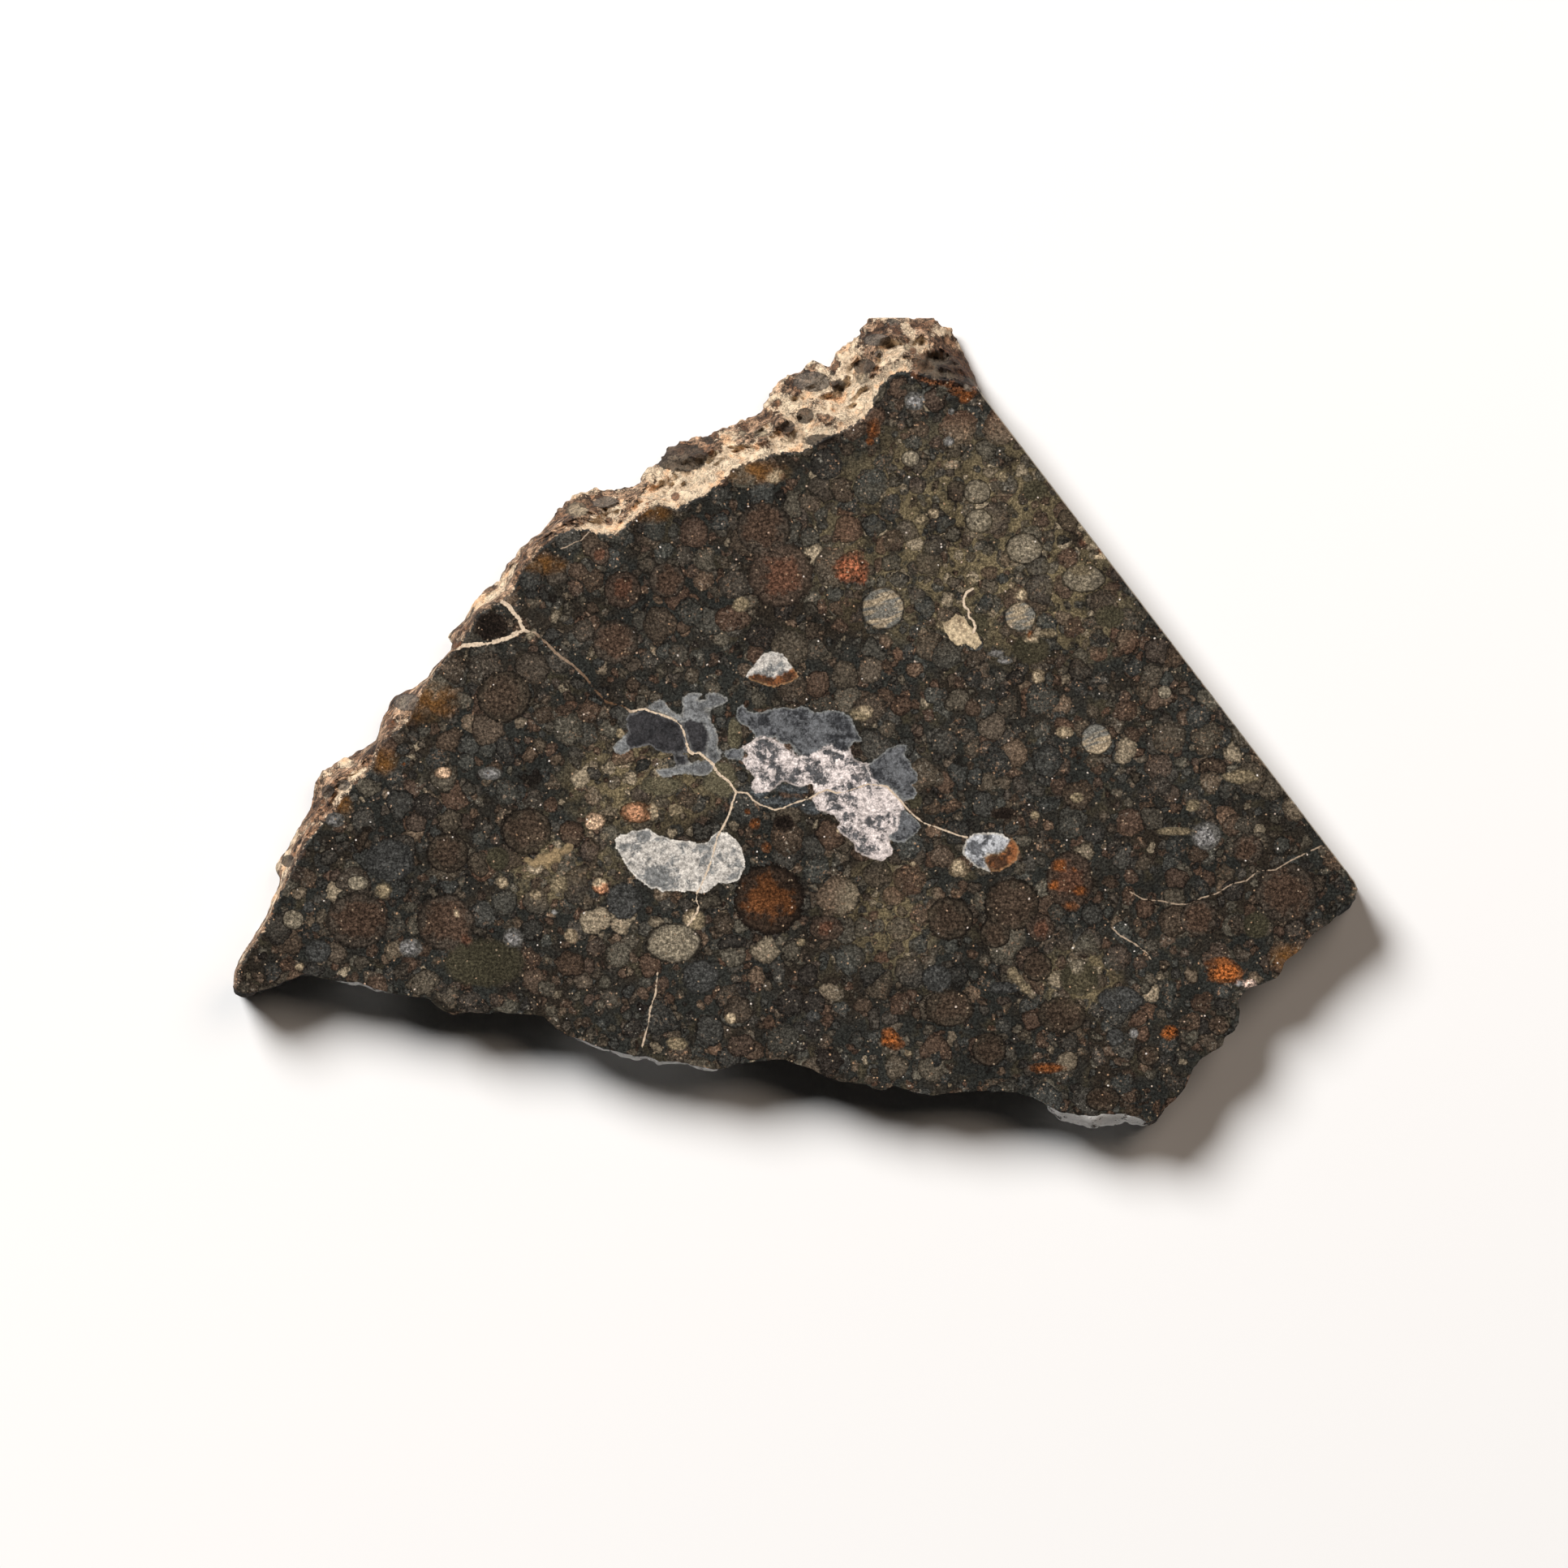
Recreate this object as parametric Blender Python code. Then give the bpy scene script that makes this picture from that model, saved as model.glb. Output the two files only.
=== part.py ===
"""A slice of a carbonaceous chondrite meteorite, one natural stone, at its real size.

The slice lies flat with its polished face up, in metres, with the middle of its
bounding box at the origin and its underside at height zero. A saw made the two flat
faces and the straight edge at the right. The upper left edge is the weathered outside
of the stone, which slopes outwards below the polished face. The lower edges are a
rough break that runs in underneath, except where three ledges stand out.
"""

import bmesh
import bpy
import numpy as np
from mathutils import Vector, noise

# Driving dimensions, in metres
SLICE_LENGTH = 0.050
SLICE_THICKNESS = 0.0030
EDGE_CHAMFER = 0.00006
BREAK_UNDERCUT = 0.0009
CRUST_TUCK = 0.0004
CRUST_ROUGHNESS = 0.00014
BREAK_ROUGHNESS = 0.00010
ROUGHNESS_GRAIN = 0.0011
STATION_SPACING = 0.00050

# The outline is read off the photograph, so its points are columns and rows there.
# The slice is 1387 columns long, and its middle is at this column and row.
LENGTH_COLUMNS = 1387
MIDDLE_COLUMN = 979.5
MIDDLE_ROW = 890.5
PIXEL = SLICE_LENGTH / LENGTH_COLUMNS

# Farthest reach of the crust, from the left tip up to the apex
CRUST_REACH = [
    (286, 1214), (290, 1192), (310, 1158), (332, 1121), (344, 1086), (342, 1070),
    (363, 1028), (384, 991), (395, 957), (441, 927), (461, 913), (467, 893),
    (486, 859), (504, 851), (527, 835), (555, 803), (554, 784), (579, 755),
    (596, 729), (617, 718), (623, 694), (637, 680), (664, 657), (696, 623),
    (735, 611), (778, 602), (796, 587), (816, 563), (841, 543), (884, 533),
    (921, 521), (944, 503), (969, 470), (995, 453), (1024, 452), (1047, 431),
    (1065, 413), (1080, 397), (1107, 390), (1154, 394),
]

# Edge of the polished face along the crust, over the same stretch
CRUST_RIM = [
    (291, 1213), (300, 1184), (322, 1149), (340, 1112), (361, 1069), (391, 1021),
    (420, 982), (452, 952), (464, 922), (490, 899), (511, 866), (542, 820),
    (569, 791), (590, 756), (630, 730), (643, 700), (677, 666), (706, 652),
    (760, 657), (795, 627), (811, 620), (850, 617), (880, 600), (901, 578),
    (942, 562), (985, 557), (1038, 530), (1071, 506), (1085, 473), (1103, 459),
    (1128, 457),
]

# The chipped end of the crust, from the apex down to the saw cut
CHIP_REACH = [(1154, 394), (1176, 424), (1197, 457), (1206, 480)]
CHIP_RIM = [(1128, 457), (1150, 465), (1176, 467), (1206, 480)]

# The straight saw cut and the corner at its lower end
SAW_CUT = [(1206, 480), (1213, 490), (1669, 1086), (1673, 1097), (1669, 1106)]

# The scalloped break below the corner, then the long lower break back to the left tip
RIGHT_BREAK = [
    (1669, 1106), (1651, 1125), (1618, 1150), (1604, 1169), (1588, 1179), (1572, 1205),
    (1538, 1217), (1526, 1231), (1528, 1249), (1521, 1270), (1509, 1279), (1499, 1294),
    (1478, 1306), (1466, 1326), (1451, 1353), (1430, 1370), (1414, 1384),
]
LOWER_BREAK = [
    (1414, 1384), (1402, 1377), (1388, 1372), (1346, 1374), (1305, 1370), (1269, 1351),
    (1236, 1345), (1192, 1345), (1150, 1350), (1102, 1338), (1088, 1344), (1051, 1334),
    (1017, 1326), (969, 1306), (920, 1309), (894, 1317), (854, 1313), (812, 1308),
    (780, 1301), (744, 1293), (698, 1275), (667, 1251), (629, 1249), (594, 1248),
    (559, 1251), (531, 1233), (499, 1226), (461, 1218), (412, 1208), (377, 1199),
    (346, 1211), (314, 1222), (291, 1221), (286, 1214),
]

# Ledges of the lower break: first column, last column and how far they stand out
LEDGES = [(400, 500, 0.00025), (696, 898, 0.00035), (1290, 1412, 0.00062)]

# Heights of the wall's rings between its foot and its rim, as shares of the thickness
RING_HEIGHTS = [0.10, 0.28, 0.46, 0.64, 0.82]
REACH_HEIGHT = 0.28
LEDGE_HEIGHT = 0.46
RIM_EASE = 1.5

# Ways in towards the stone under each kind of edge
UNDER_CRUST = (0.6, -0.8)
UNDER_RIGHT_BREAK = (-0.75, 0.66)
UNDER_LOWER_BREAK = (0.0, 1.0)

# Stations on each side that an edge's direction is measured over
DIRECTION_SPAN = 4

# Edges that fold more than this many degrees stay crisp
SHARP_ANGLE = 35.0

# Look of the stone
STONE_COLOUR = (0.040, 0.040, 0.034, 1.0)
STONE_ROUGHNESS = 0.5
STONE_METALLIC = 0.0


def clear_scene():
    """Remove every object that the new file starts with."""
    for thing in list(bpy.data.objects):
        bpy.data.objects.remove(thing, do_unlink=True)


def to_metres(points):
    """Turn columns and rows of the photograph into places on the slice."""
    pixels = np.array(points, dtype=float)
    across = (pixels[:, 0] - MIDDLE_COLUMN) * PIXEL
    up = (MIDDLE_ROW - pixels[:, 1]) * PIXEL
    return np.stack([across, up], axis=1)


def run_lengths(line):
    """Distance along a line of points from its start to each point, as a share of it all."""
    steps = np.linalg.norm(np.diff(line, axis=0), axis=1)
    runs = np.concatenate([[0.0], np.cumsum(steps)])
    return runs / runs[-1]


def divided(line):
    """Add evenly spaced points between the given ones, and leave the last one off."""
    pieces = []
    for start, end in zip(line[:-1], line[1:]):
        count = max(1, round(float(np.linalg.norm(end - start)) / STATION_SPACING))
        shares = np.arange(count)[:, None] / count
        pieces.append(start + (end - start) * shares)
    return np.concatenate(pieces)


def walked(line, shares):
    """Points on a line at the given shares of its length."""
    runs = run_lengths(line)
    across = np.interp(shares, runs, line[:, 0])
    up = np.interp(shares, runs, line[:, 1])
    return np.stack([across, up], axis=1)


def sloping_stretch(reach_points, rim_points):
    """Reach and rim of a stretch whose wall slopes outwards, point for point."""
    reach_line = to_metres(reach_points)
    reach = divided(reach_line)
    shares = run_lengths(np.concatenate([reach, reach_line[-1:]]))[:-1]
    return reach, walked(to_metres(rim_points), shares)


def steep_stretch(points):
    """A stretch whose widest line is the edge of the polished face itself."""
    line = divided(to_metres(points))
    return line, line.copy()


def ledge_reach(foot_line):
    """How far the ledges stand out below the lower break, at each of its points."""
    columns = foot_line[:, 0] / PIXEL + MIDDLE_COLUMN
    reach = np.zeros(len(columns))
    for first, last, size in LEDGES:
        share = np.clip((columns - first) / (last - first), 0.0, 1.0)
        reach += size * np.sqrt(np.sin(np.pi * share))
    return reach


def arch(count, height):
    """Rise from nothing to a height and back, quickly near both ends."""
    share = np.linspace(0.0, 1.0, count)
    return height * np.minimum(1.0, 4.0 * np.minimum(share, 1.0 - share))


def wall_lines():
    """Rim, widest line and foot of the wall, its roughness and how high it is widest.

    The foot is the widest line moved inwards: down and to the right under the crust,
    to the upper left under the right break, and straight up under the lower break.
    """
    crust_reach, crust_rim = sloping_stretch(CRUST_REACH, CRUST_RIM)
    chip_reach, chip_rim = sloping_stretch(CHIP_REACH, CHIP_RIM)
    saw_reach, saw_rim = steep_stretch(SAW_CUT)
    right_reach, right_rim = steep_stretch(RIGHT_BREAK)
    lower_reach, lower_rim = steep_stretch(LOWER_BREAK)

    crust_foot = crust_reach + np.outer(arch(len(crust_reach), CRUST_TUCK), UNDER_CRUST)
    right_foot = right_reach + np.outer(arch(len(right_reach), BREAK_UNDERCUT), UNDER_RIGHT_BREAK)
    lower_foot = lower_reach + np.outer(arch(len(lower_reach), BREAK_UNDERCUT), UNDER_LOWER_BREAK)
    lower_shelf = lower_reach - np.outer(ledge_reach(lower_reach), UNDER_LOWER_BREAK)

    rim = np.concatenate([crust_rim, chip_rim, saw_rim, right_rim, lower_rim])
    widest = np.concatenate([crust_reach, chip_reach, saw_reach, right_reach, lower_shelf])
    foot = np.concatenate([crust_foot, chip_reach, saw_reach, right_foot, lower_foot])
    roughness = np.concatenate([
        arch(len(crust_reach), CRUST_ROUGHNESS),
        arch(len(chip_reach), CRUST_ROUGHNESS),
        np.zeros(len(saw_reach)),
        arch(len(right_reach), BREAK_ROUGHNESS),
        arch(len(lower_reach), BREAK_ROUGHNESS),
    ])
    widest_share = np.concatenate([
        np.full(len(crust_reach) + len(chip_reach) + len(saw_reach), REACH_HEIGHT),
        np.full(len(right_reach) + len(lower_reach), LEDGE_HEIGHT),
    ])
    return rim, widest, foot, roughness, widest_share


def inward_directions(line):
    """Unit directions from a closed line towards its inside, smoothed over its neighbours."""
    along = np.roll(line, -DIRECTION_SPAN, axis=0) - np.roll(line, DIRECTION_SPAN, axis=0)
    along /= np.linalg.norm(along, axis=1)[:, None]
    return np.stack([along[:, 1], -along[:, 0]], axis=1)


def pitted(ring, height, inward, roughness):
    """Push a ring's points inwards by a smooth uneven depth, never outwards."""
    unevenness = [noise.noise(Vector((x, y, height)) / ROUGHNESS_GRAIN) for x, y in ring]
    depth = roughness * np.clip(0.5 + np.array(unevenness), 0.0, 1.0)
    return ring + inward * depth[:, None]


def wall_rings():
    """Rings of the wall from the underside to the polished face.

    Below the widest line a ring lies between the foot and that line. Above it the wall
    eases in towards the rim, so the crust is steep at its foot and flatter at the rim.
    """
    rim, widest, foot, roughness, widest_share = wall_lines()
    inward = inward_directions(widest)
    rings = [(foot, 0.0)]
    for share in RING_HEIGHTS:
        height = share * SLICE_THICKNESS
        below = np.clip(share / widest_share, 0.0, 1.0)[:, None]
        above = np.clip((share - widest_share) / (1.0 - widest_share), 0.0, 1.0)[:, None]
        ring = foot + (widest - foot) * np.sqrt(below) + (rim - widest) * above ** RIM_EASE
        rings.append((pitted(ring, height, inward, roughness), height))
    rings.append((rim, SLICE_THICKNESS - EDGE_CHAMFER))
    rings.append((rim + inward * EDGE_CHAMFER, SLICE_THICKNESS))
    return rings


def stone_material():
    """Dark olive grey stone with a satin polish."""
    material = bpy.data.materials.new("chondrite_stone")
    material.use_nodes = True
    shader = material.node_tree.nodes["Principled BSDF"]
    shader.inputs["Base Color"].default_value = STONE_COLOUR
    shader.inputs["Roughness"].default_value = STONE_ROUGHNESS
    shader.inputs["Metallic"].default_value = STONE_METALLIC
    return material


def build_slice():
    """Bridge the rings of the wall and close them with the two sawn faces."""
    body = bmesh.new()
    loops = []
    for ring, height in wall_rings():
        loops.append([body.verts.new((x, y, height)) for x, y in ring])
    for lower, upper in zip(loops[:-1], loops[1:]):
        for here in range(len(lower)):
            after = (here + 1) % len(lower)
            body.faces.new((lower[here], upper[here], upper[after], lower[after]))
    body.faces.new(loops[0])
    body.faces.new(reversed(loops[-1]))
    bmesh.ops.triangulate(body, faces=body.faces[:])
    bmesh.ops.recalc_face_normals(body, faces=body.faces[:])

    mesh = bpy.data.meshes.new("meteorite_slice")
    body.to_mesh(mesh)
    body.free()
    mesh.shade_smooth()
    mesh.set_sharp_from_angle(angle=np.radians(SHARP_ANGLE))
    mesh.materials.append(stone_material())
    stone = bpy.data.objects.new("meteorite_slice", mesh)
    bpy.context.scene.collection.objects.link(stone)
    return stone


clear_scene()
build_slice()
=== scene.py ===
# %% [markdown]
# # A slice of a stony meteorite
#
# The real object is one stone, sawn into a slice 50 mm long and 3 mm thick and polished
# on its upper face. The face shows round grains called chondrules, pale inclusions,
# cream filled cracks and rust. The upper left side is the weathered outside of the
# stone, the straight side is a saw cut, and the two lower sides are rough breaks.
#
# We build it in four steps: the outline and the wall as grids of points, the two flat
# faces, the map of what lies where in the stone, and the finish that paints that map.

import itertools

import bpy
import numpy as np
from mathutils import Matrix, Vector
from mathutils.geometry import delaunay_2d_cdt


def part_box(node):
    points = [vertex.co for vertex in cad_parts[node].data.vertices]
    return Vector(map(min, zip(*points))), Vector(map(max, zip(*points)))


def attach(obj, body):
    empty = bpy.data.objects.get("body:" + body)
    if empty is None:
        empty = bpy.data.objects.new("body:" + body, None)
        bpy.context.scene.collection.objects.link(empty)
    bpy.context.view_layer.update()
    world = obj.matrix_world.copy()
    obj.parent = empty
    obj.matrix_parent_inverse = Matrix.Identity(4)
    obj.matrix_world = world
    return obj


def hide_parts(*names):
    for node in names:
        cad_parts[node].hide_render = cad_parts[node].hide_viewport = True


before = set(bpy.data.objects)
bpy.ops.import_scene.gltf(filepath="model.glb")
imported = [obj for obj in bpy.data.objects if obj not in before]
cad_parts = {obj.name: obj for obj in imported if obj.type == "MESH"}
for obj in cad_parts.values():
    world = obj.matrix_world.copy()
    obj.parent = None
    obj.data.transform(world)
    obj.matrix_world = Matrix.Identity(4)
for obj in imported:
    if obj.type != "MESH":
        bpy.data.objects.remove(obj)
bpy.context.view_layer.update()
STONE_NODE = "meteorite_slice"
low, high = (np.array(corner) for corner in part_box(STONE_NODE))
LENGTH = float(high[0] - low[0])
THICKNESS = float(high[2] - low[2])
print("slice, millimetres:", (high - low) * 1000)

# %% [markdown]
# ## From the photograph to the slice
#
# Places on the stone were read off the photograph, as a column and a row. The
# slice is 1387 columns long there, so one column is about 0.036 mm. We keep the places
# as columns and rows, which are easy to check against the photograph, and turn them
# into metres with one function. Sizes that belong to the stone itself are in metres.

# %% Columns and rows to metres
LENGTH_COLUMNS = 1387
MIDDLE_COLUMN = 979.5
MIDDLE_ROW = 890.5
PIXEL = LENGTH / LENGTH_COLUMNS
MILLIMETRE = 0.001


def on_stone(points):
    """Columns and rows to metres: x grows with the column and y falls with the row."""
    pixels = np.array(points, dtype=float)
    return np.stack([(pixels[:, 0] - MIDDLE_COLUMN) * PIXEL,
                     (MIDDLE_ROW - pixels[:, 1]) * PIXEL], axis=1)


print("one column is", round(PIXEL / MILLIMETRE, 4), "mm")

# %% [markdown]
# ## The outline
#
# A natural outline follows no formula, so it is a list of places, just enough to carry
# each lump and notch. The crust has two lines: the rim of the polished face, and the
# farthest reach of the rough wall that slopes out below it.

# %% Outline of the slice
CRUST_REACH = [
    (286, 1212), (288, 1198), (293, 1184), (310, 1158), (318, 1145), (332, 1121),
    (334, 1110), (343, 1091), (344, 1081), (342, 1070), (348, 1058), (363, 1028),
    (370, 1014), (384, 991), (387, 978), (395, 957), (406, 949), (431, 935),
    (441, 927), (452, 918), (461, 913), (465, 903), (467, 893), (479, 869),
    (486, 859), (504, 851), (517, 843), (527, 835), (534, 823), (543, 813),
    (555, 803), (559, 792), (554, 784), (559, 776), (571, 766), (587, 742),
    (596, 729), (608, 723), (617, 718), (620, 706), (623, 694), (634, 687),
    (637, 680), (650, 668), (664, 657), (681, 636), (696, 623), (712, 615),
    (735, 611), (758, 607), (778, 602), (791, 594), (796, 587), (808, 577),
    (816, 563), (827, 551), (841, 543), (861, 539), (884, 533), (907, 524),
    (921, 521), (931, 511), (944, 503), (953, 492), (958, 481), (969, 470),
    (981, 459), (995, 453), (1008, 451), (1013, 457), (1024, 452), (1036, 443),
    (1047, 431), (1058, 422), (1065, 413), (1069, 404), (1080, 397), (1095, 392),
    (1107, 390), (1120, 394), (1134, 392), (1148, 391), (1154, 396),
]
CRUST_RIM = [
    (290, 1214), (292, 1196), (300, 1182), (309, 1166), (322, 1147), (333, 1128),
    (339, 1112), (349, 1091), (360, 1069), (368, 1054), (378, 1036), (391, 1019),
    (402, 1006), (412, 993), (420, 981), (431, 970), (441, 959), (452, 951),
    (459, 938), (464, 921), (476, 908), (490, 898), (503, 884), (510, 866),
    (518, 851), (529, 836), (542, 818), (556, 803), (568, 790), (580, 772),
    (589, 755), (604, 746), (617, 739), (630, 729), (636, 713), (643, 699),
    (659, 681), (677, 665), (690, 656), (706, 650), (723, 651), (742, 656),
    (760, 657), (768, 648), (781, 637), (795, 626), (811, 619), (833, 626),
    (850, 616), (862, 611), (880, 599), (893, 587), (901, 577), (919, 569),
    (942, 561), (965, 555), (985, 556), (1001, 547), (1016, 538), (1038, 529),
    (1059, 517), (1071, 505), (1077, 486), (1085, 472), (1103, 458), (1128, 456),
]
CHIP_REACH = [(1154, 396), (1162, 406), (1176, 424), (1188, 441), (1197, 457), (1205, 478)]
CHIP_RIM = [(1128, 456), (1150, 464), (1176, 466), (1205, 478)]
SAW_CUT = [(1205, 478), (1213, 490), (1669, 1086), (1673, 1096), (1669, 1106)]
RIGHT_BREAK = [
    (1669, 1106), (1662, 1115), (1651, 1125), (1641, 1134), (1632, 1142), (1618, 1150),
    (1610, 1159), (1604, 1169), (1596, 1175), (1588, 1179), (1582, 1187), (1580, 1196),
    (1572, 1205), (1559, 1211), (1547, 1215), (1538, 1217), (1533, 1224), (1526, 1231),
    (1528, 1247), (1526, 1260), (1521, 1270), (1509, 1279), (1506, 1288), (1499, 1294),
    (1488, 1300), (1478, 1306), (1471, 1315), (1466, 1326), (1460, 1340), (1451, 1353),
    (1440, 1362), (1430, 1370), (1424, 1379), (1416, 1384),
]
LOWER_BREAK = [
    (1416, 1384), (1402, 1377), (1388, 1372), (1367, 1372), (1346, 1374), (1324, 1373),
    (1305, 1370), (1287, 1360), (1269, 1351), (1255, 1347), (1236, 1345), (1216, 1344),
    (1192, 1345), (1170, 1346), (1150, 1350), (1130, 1347), (1115, 1342), (1102, 1338),
    (1088, 1344), (1076, 1341), (1065, 1335), (1051, 1334), (1033, 1332), (1017, 1326),
    (1001, 1318), (983, 1312), (969, 1306), (955, 1305), (939, 1307), (920, 1309),
    (904, 1312), (894, 1317), (877, 1317), (854, 1313), (835, 1308), (812, 1308),
    (797, 1301), (780, 1301), (762, 1296), (744, 1293), (721, 1283), (698, 1275),
    (686, 1267), (675, 1258), (667, 1251), (652, 1250), (629, 1249), (611, 1246),
    (603, 1249), (594, 1248), (575, 1247), (559, 1251), (548, 1246), (536, 1239),
    (531, 1233), (522, 1229), (499, 1226), (477, 1223), (461, 1218), (445, 1211),
    (431, 1210), (412, 1208), (394, 1205), (377, 1199), (362, 1205), (346, 1211),
    (330, 1218), (314, 1222), (299, 1225), (291, 1221), (286, 1212),
]
# First column, last column and reach of each ledge, in columns
LEDGES = [(404, 500, 6.0), (694, 898, 9.5), (1290, 1412, 17.2)]
print(len(CRUST_REACH) + len(CHIP_REACH), "places along the crust")

# %% [markdown]
# ## Smooth random numbers
#
# Broken and weathered rock needs unevenness that looks random and still comes out the
# same every time. We put seeded random numbers on a cubic lattice and blend between
# the eight around each place. Adding finer and weaker copies gives lumps with grit on
# them. Blender's own textures could do it in a modifier, but here one function serves
# the shape and the map of the stone alike.

# %% Lattice noise
LATTICE = 32


def lumps(places, grain, seed):
    """Smooth noise from -1 to 1: random numbers on a cubic lattice with steps of one
    grain, blended between the eight corners round each place by 3t squared - 2t cubed."""
    values = np.random.default_rng(seed).uniform(-1.0, 1.0, (LATTICE, LATTICE, LATTICE))
    cell = np.floor(places / grain).astype(int)
    share = places / grain - cell
    share = share * share * (3.0 - 2.0 * share)
    total = np.zeros(len(places))
    for corner in itertools.product((0, 1), repeat=3):
        near = np.prod(np.where(np.array(corner) == 1, share, 1.0 - share), axis=1)
        x, y, z = ((cell + corner) % LATTICE).T
        total += near * values[x, y, z]
    return total


def rough(places, grain, seed, layers=4):
    """Lumps plus layers of half the grain and half the height each."""
    total = np.zeros(len(places))
    for layer in range(layers):
        total += lumps(places, grain / 2 ** layer, seed + layer) / 2 ** layer
    return total


print("noise on a lattice of", LATTICE, "steps each way")

# %% [markdown]
# ## Stations round the outline
#
# We walk the outline and set a station every tenth of a millimetre. Each station knows
# its rim point, its widest point and its foot, and how much it belongs to the crust,
# the saw cut or a break. The wall is then one grid: stations along it, rows down it.

# %% Ways to walk along a line
STATION_STEP = 2.9 * PIXEL
END_PART = 0.25

# Places where the rim and the reach of the crust face each other
CRUST_PAIRS = [
    ((290, 1214), (286, 1212)), ((360, 1069), (348, 1058)), ((420, 981), (387, 978)),
    ((464, 921), (461, 913)), ((503, 884), (479, 869)), ((542, 818), (534, 823)),
    ((568, 790), (554, 784)), ((617, 739), (596, 729)), ((643, 699), (623, 694)),
    ((690, 656), (664, 657)), ((760, 657), (735, 611)), ((811, 619), (791, 594)),
    ((850, 616), (827, 551)), ((919, 569), (884, 533)), ((985, 556), (953, 492)),
    ((1038, 529), (995, 453)), ((1071, 505), (1024, 452)), ((1085, 472), (1058, 422)),
    ((1103, 458), (1080, 397)), ((1128, 456), (1154, 396)),
]


def runs(line):
    """Distance from the start of a line of points to each of its points."""
    return np.concatenate([[0.0], np.cumsum(np.linalg.norm(np.diff(line, axis=0), axis=1))])


def walked(line, distances):
    """Points on a line at given distances from its start."""
    along = runs(line)
    return np.stack([np.interp(distances, along, line[:, axis]) for axis in (0, 1)], axis=1)


def stations_on(line):
    """Even distances along a line, a station step apart, without its last point."""
    total = runs(line)[-1]
    count = int(round(total / STATION_STEP))
    return np.arange(count) * total / count


def facing(reach, rim, pairs):
    """Rim points that face the stations of the reach: the distance along the rim grows
    in step with the distance along the reach between each pair of facing places."""
    along_reach = runs(reach)[[CRUST_REACH.index(pair[1]) for pair in pairs]]
    along_rim = runs(rim)[[CRUST_RIM.index(pair[0]) for pair in pairs]]
    return walked(rim, np.interp(stations_on(reach), along_reach, along_rim))


def sway(count, amount):
    """From 0 up to an amount and back to 0, each within the end part of a run."""
    share = np.linspace(0.0, 1.0, count)
    return amount * np.minimum(1.0, np.minimum(share, 1.0 - share) / END_PART)[:, None]


print("a station every", round(STATION_STEP / MILLIMETRE, 3), "mm")

# %% [markdown]
# Each stretch of the outline is walked on its own, so that its corners stay sharp. On
# the crust, the rim and the widest line have different lengths, so the pairs above say
# which places belong together. On the saw cut and the breaks the two lines are one.

# %% Rim and widest line
crust_line, crust_rim_line = on_stone(CRUST_REACH), on_stone(CRUST_RIM)
chip_line, chip_rim_line = on_stone(CHIP_REACH), on_stone(CHIP_RIM)
crust_wide = walked(crust_line, stations_on(crust_line))
crust_rim = facing(crust_line, crust_rim_line, CRUST_PAIRS)
chip_wide = walked(chip_line, stations_on(chip_line))
chip_rim = walked(chip_rim_line, stations_on(chip_line) * runs(chip_rim_line)[-1]
                  / runs(chip_line)[-1])
saw_line, right_line, lower_line = (on_stone(p) for p in (SAW_CUT, RIGHT_BREAK, LOWER_BREAK))
saw_rim, right_rim, lower_rim = (walked(line, stations_on(line))
                                 for line in (saw_line, right_line, lower_line))
counts = [len(part) for part in (crust_wide, chip_wide, saw_rim, right_rim, lower_rim)]
rim = np.concatenate([crust_rim, chip_rim, saw_rim, right_rim, lower_rim])
wide = np.concatenate([crust_wide, chip_wide, saw_rim, right_rim, lower_rim])
kinds = np.repeat(["crust", "chip", "saw", "right", "lower"], counts)
print(len(rim), "stations:", dict(zip(("crust", "chip", "saw", "right", "lower"), counts)))

# %% [markdown]
# The foot isn't right below the rim: the crust tucks in, and both breaks lean in under
# the face. Along the lower break some layers stand out as ledges. Last, the broken rims
# get a fine jag, and the saw cut a chamfer of a twentieth of a millimetre.

# %% Feet, ledges and jags
CRUST_TUCK = 0.0004
CRUST_INWARD = (0.6, -0.8)
UNDERCUT = 0.0009
RIGHT_INWARD = (-0.75, 0.66)
LOWER_INWARD = (0.0, 1.0)
BREAK_JAG = 0.9 * PIXEL
JAG_GRAIN = 7.0
JAG_SEEDS = (3, 4)
SAW_CHAMFER = 0.00005
SAW_OUTWARD = np.array([0.795, 0.607])


def ledge_reach(line):
    """How far the ledges stand out below the lower break: half a sine wave each."""
    columns = line[:, 0] / PIXEL + MIDDLE_COLUMN
    reach = np.zeros(len(columns))
    for first, last, size in LEDGES:
        share = np.clip((columns - first) / (last - first), 0.0, 1.0)
        reach += size * PIXEL * np.sqrt(np.sin(np.pi * share))
    return reach


foot_shift = np.concatenate([
    sway(counts[0], CRUST_TUCK) * CRUST_INWARD,
    np.zeros((counts[1] + counts[2], 2)),
    sway(counts[3], UNDERCUT) * RIGHT_INWARD,
    sway(counts[4], UNDERCUT) * LOWER_INWARD,
])
ledge = np.where(kinds == "lower", ledge_reach(rim), 0.0)
is_broken = np.isin(kinds, ["right", "lower"])
flat_rim = np.c_[rim / PIXEL, np.zeros(len(rim))]
jag = np.stack([lumps(flat_rim, JAG_GRAIN, seed) for seed in JAG_SEEDS], axis=1) * BREAK_JAG
rim = rim + jag * is_broken[:, None]
wide = np.where(is_broken[:, None], rim, wide)
is_sawn = (kinds == "saw")[:, None]
rim = rim - is_sawn * SAW_CHAMFER * SAW_OUTWARD
print("farthest ledge, mm:", round(float(ledge.max() / MILLIMETRE), 2))

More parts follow.
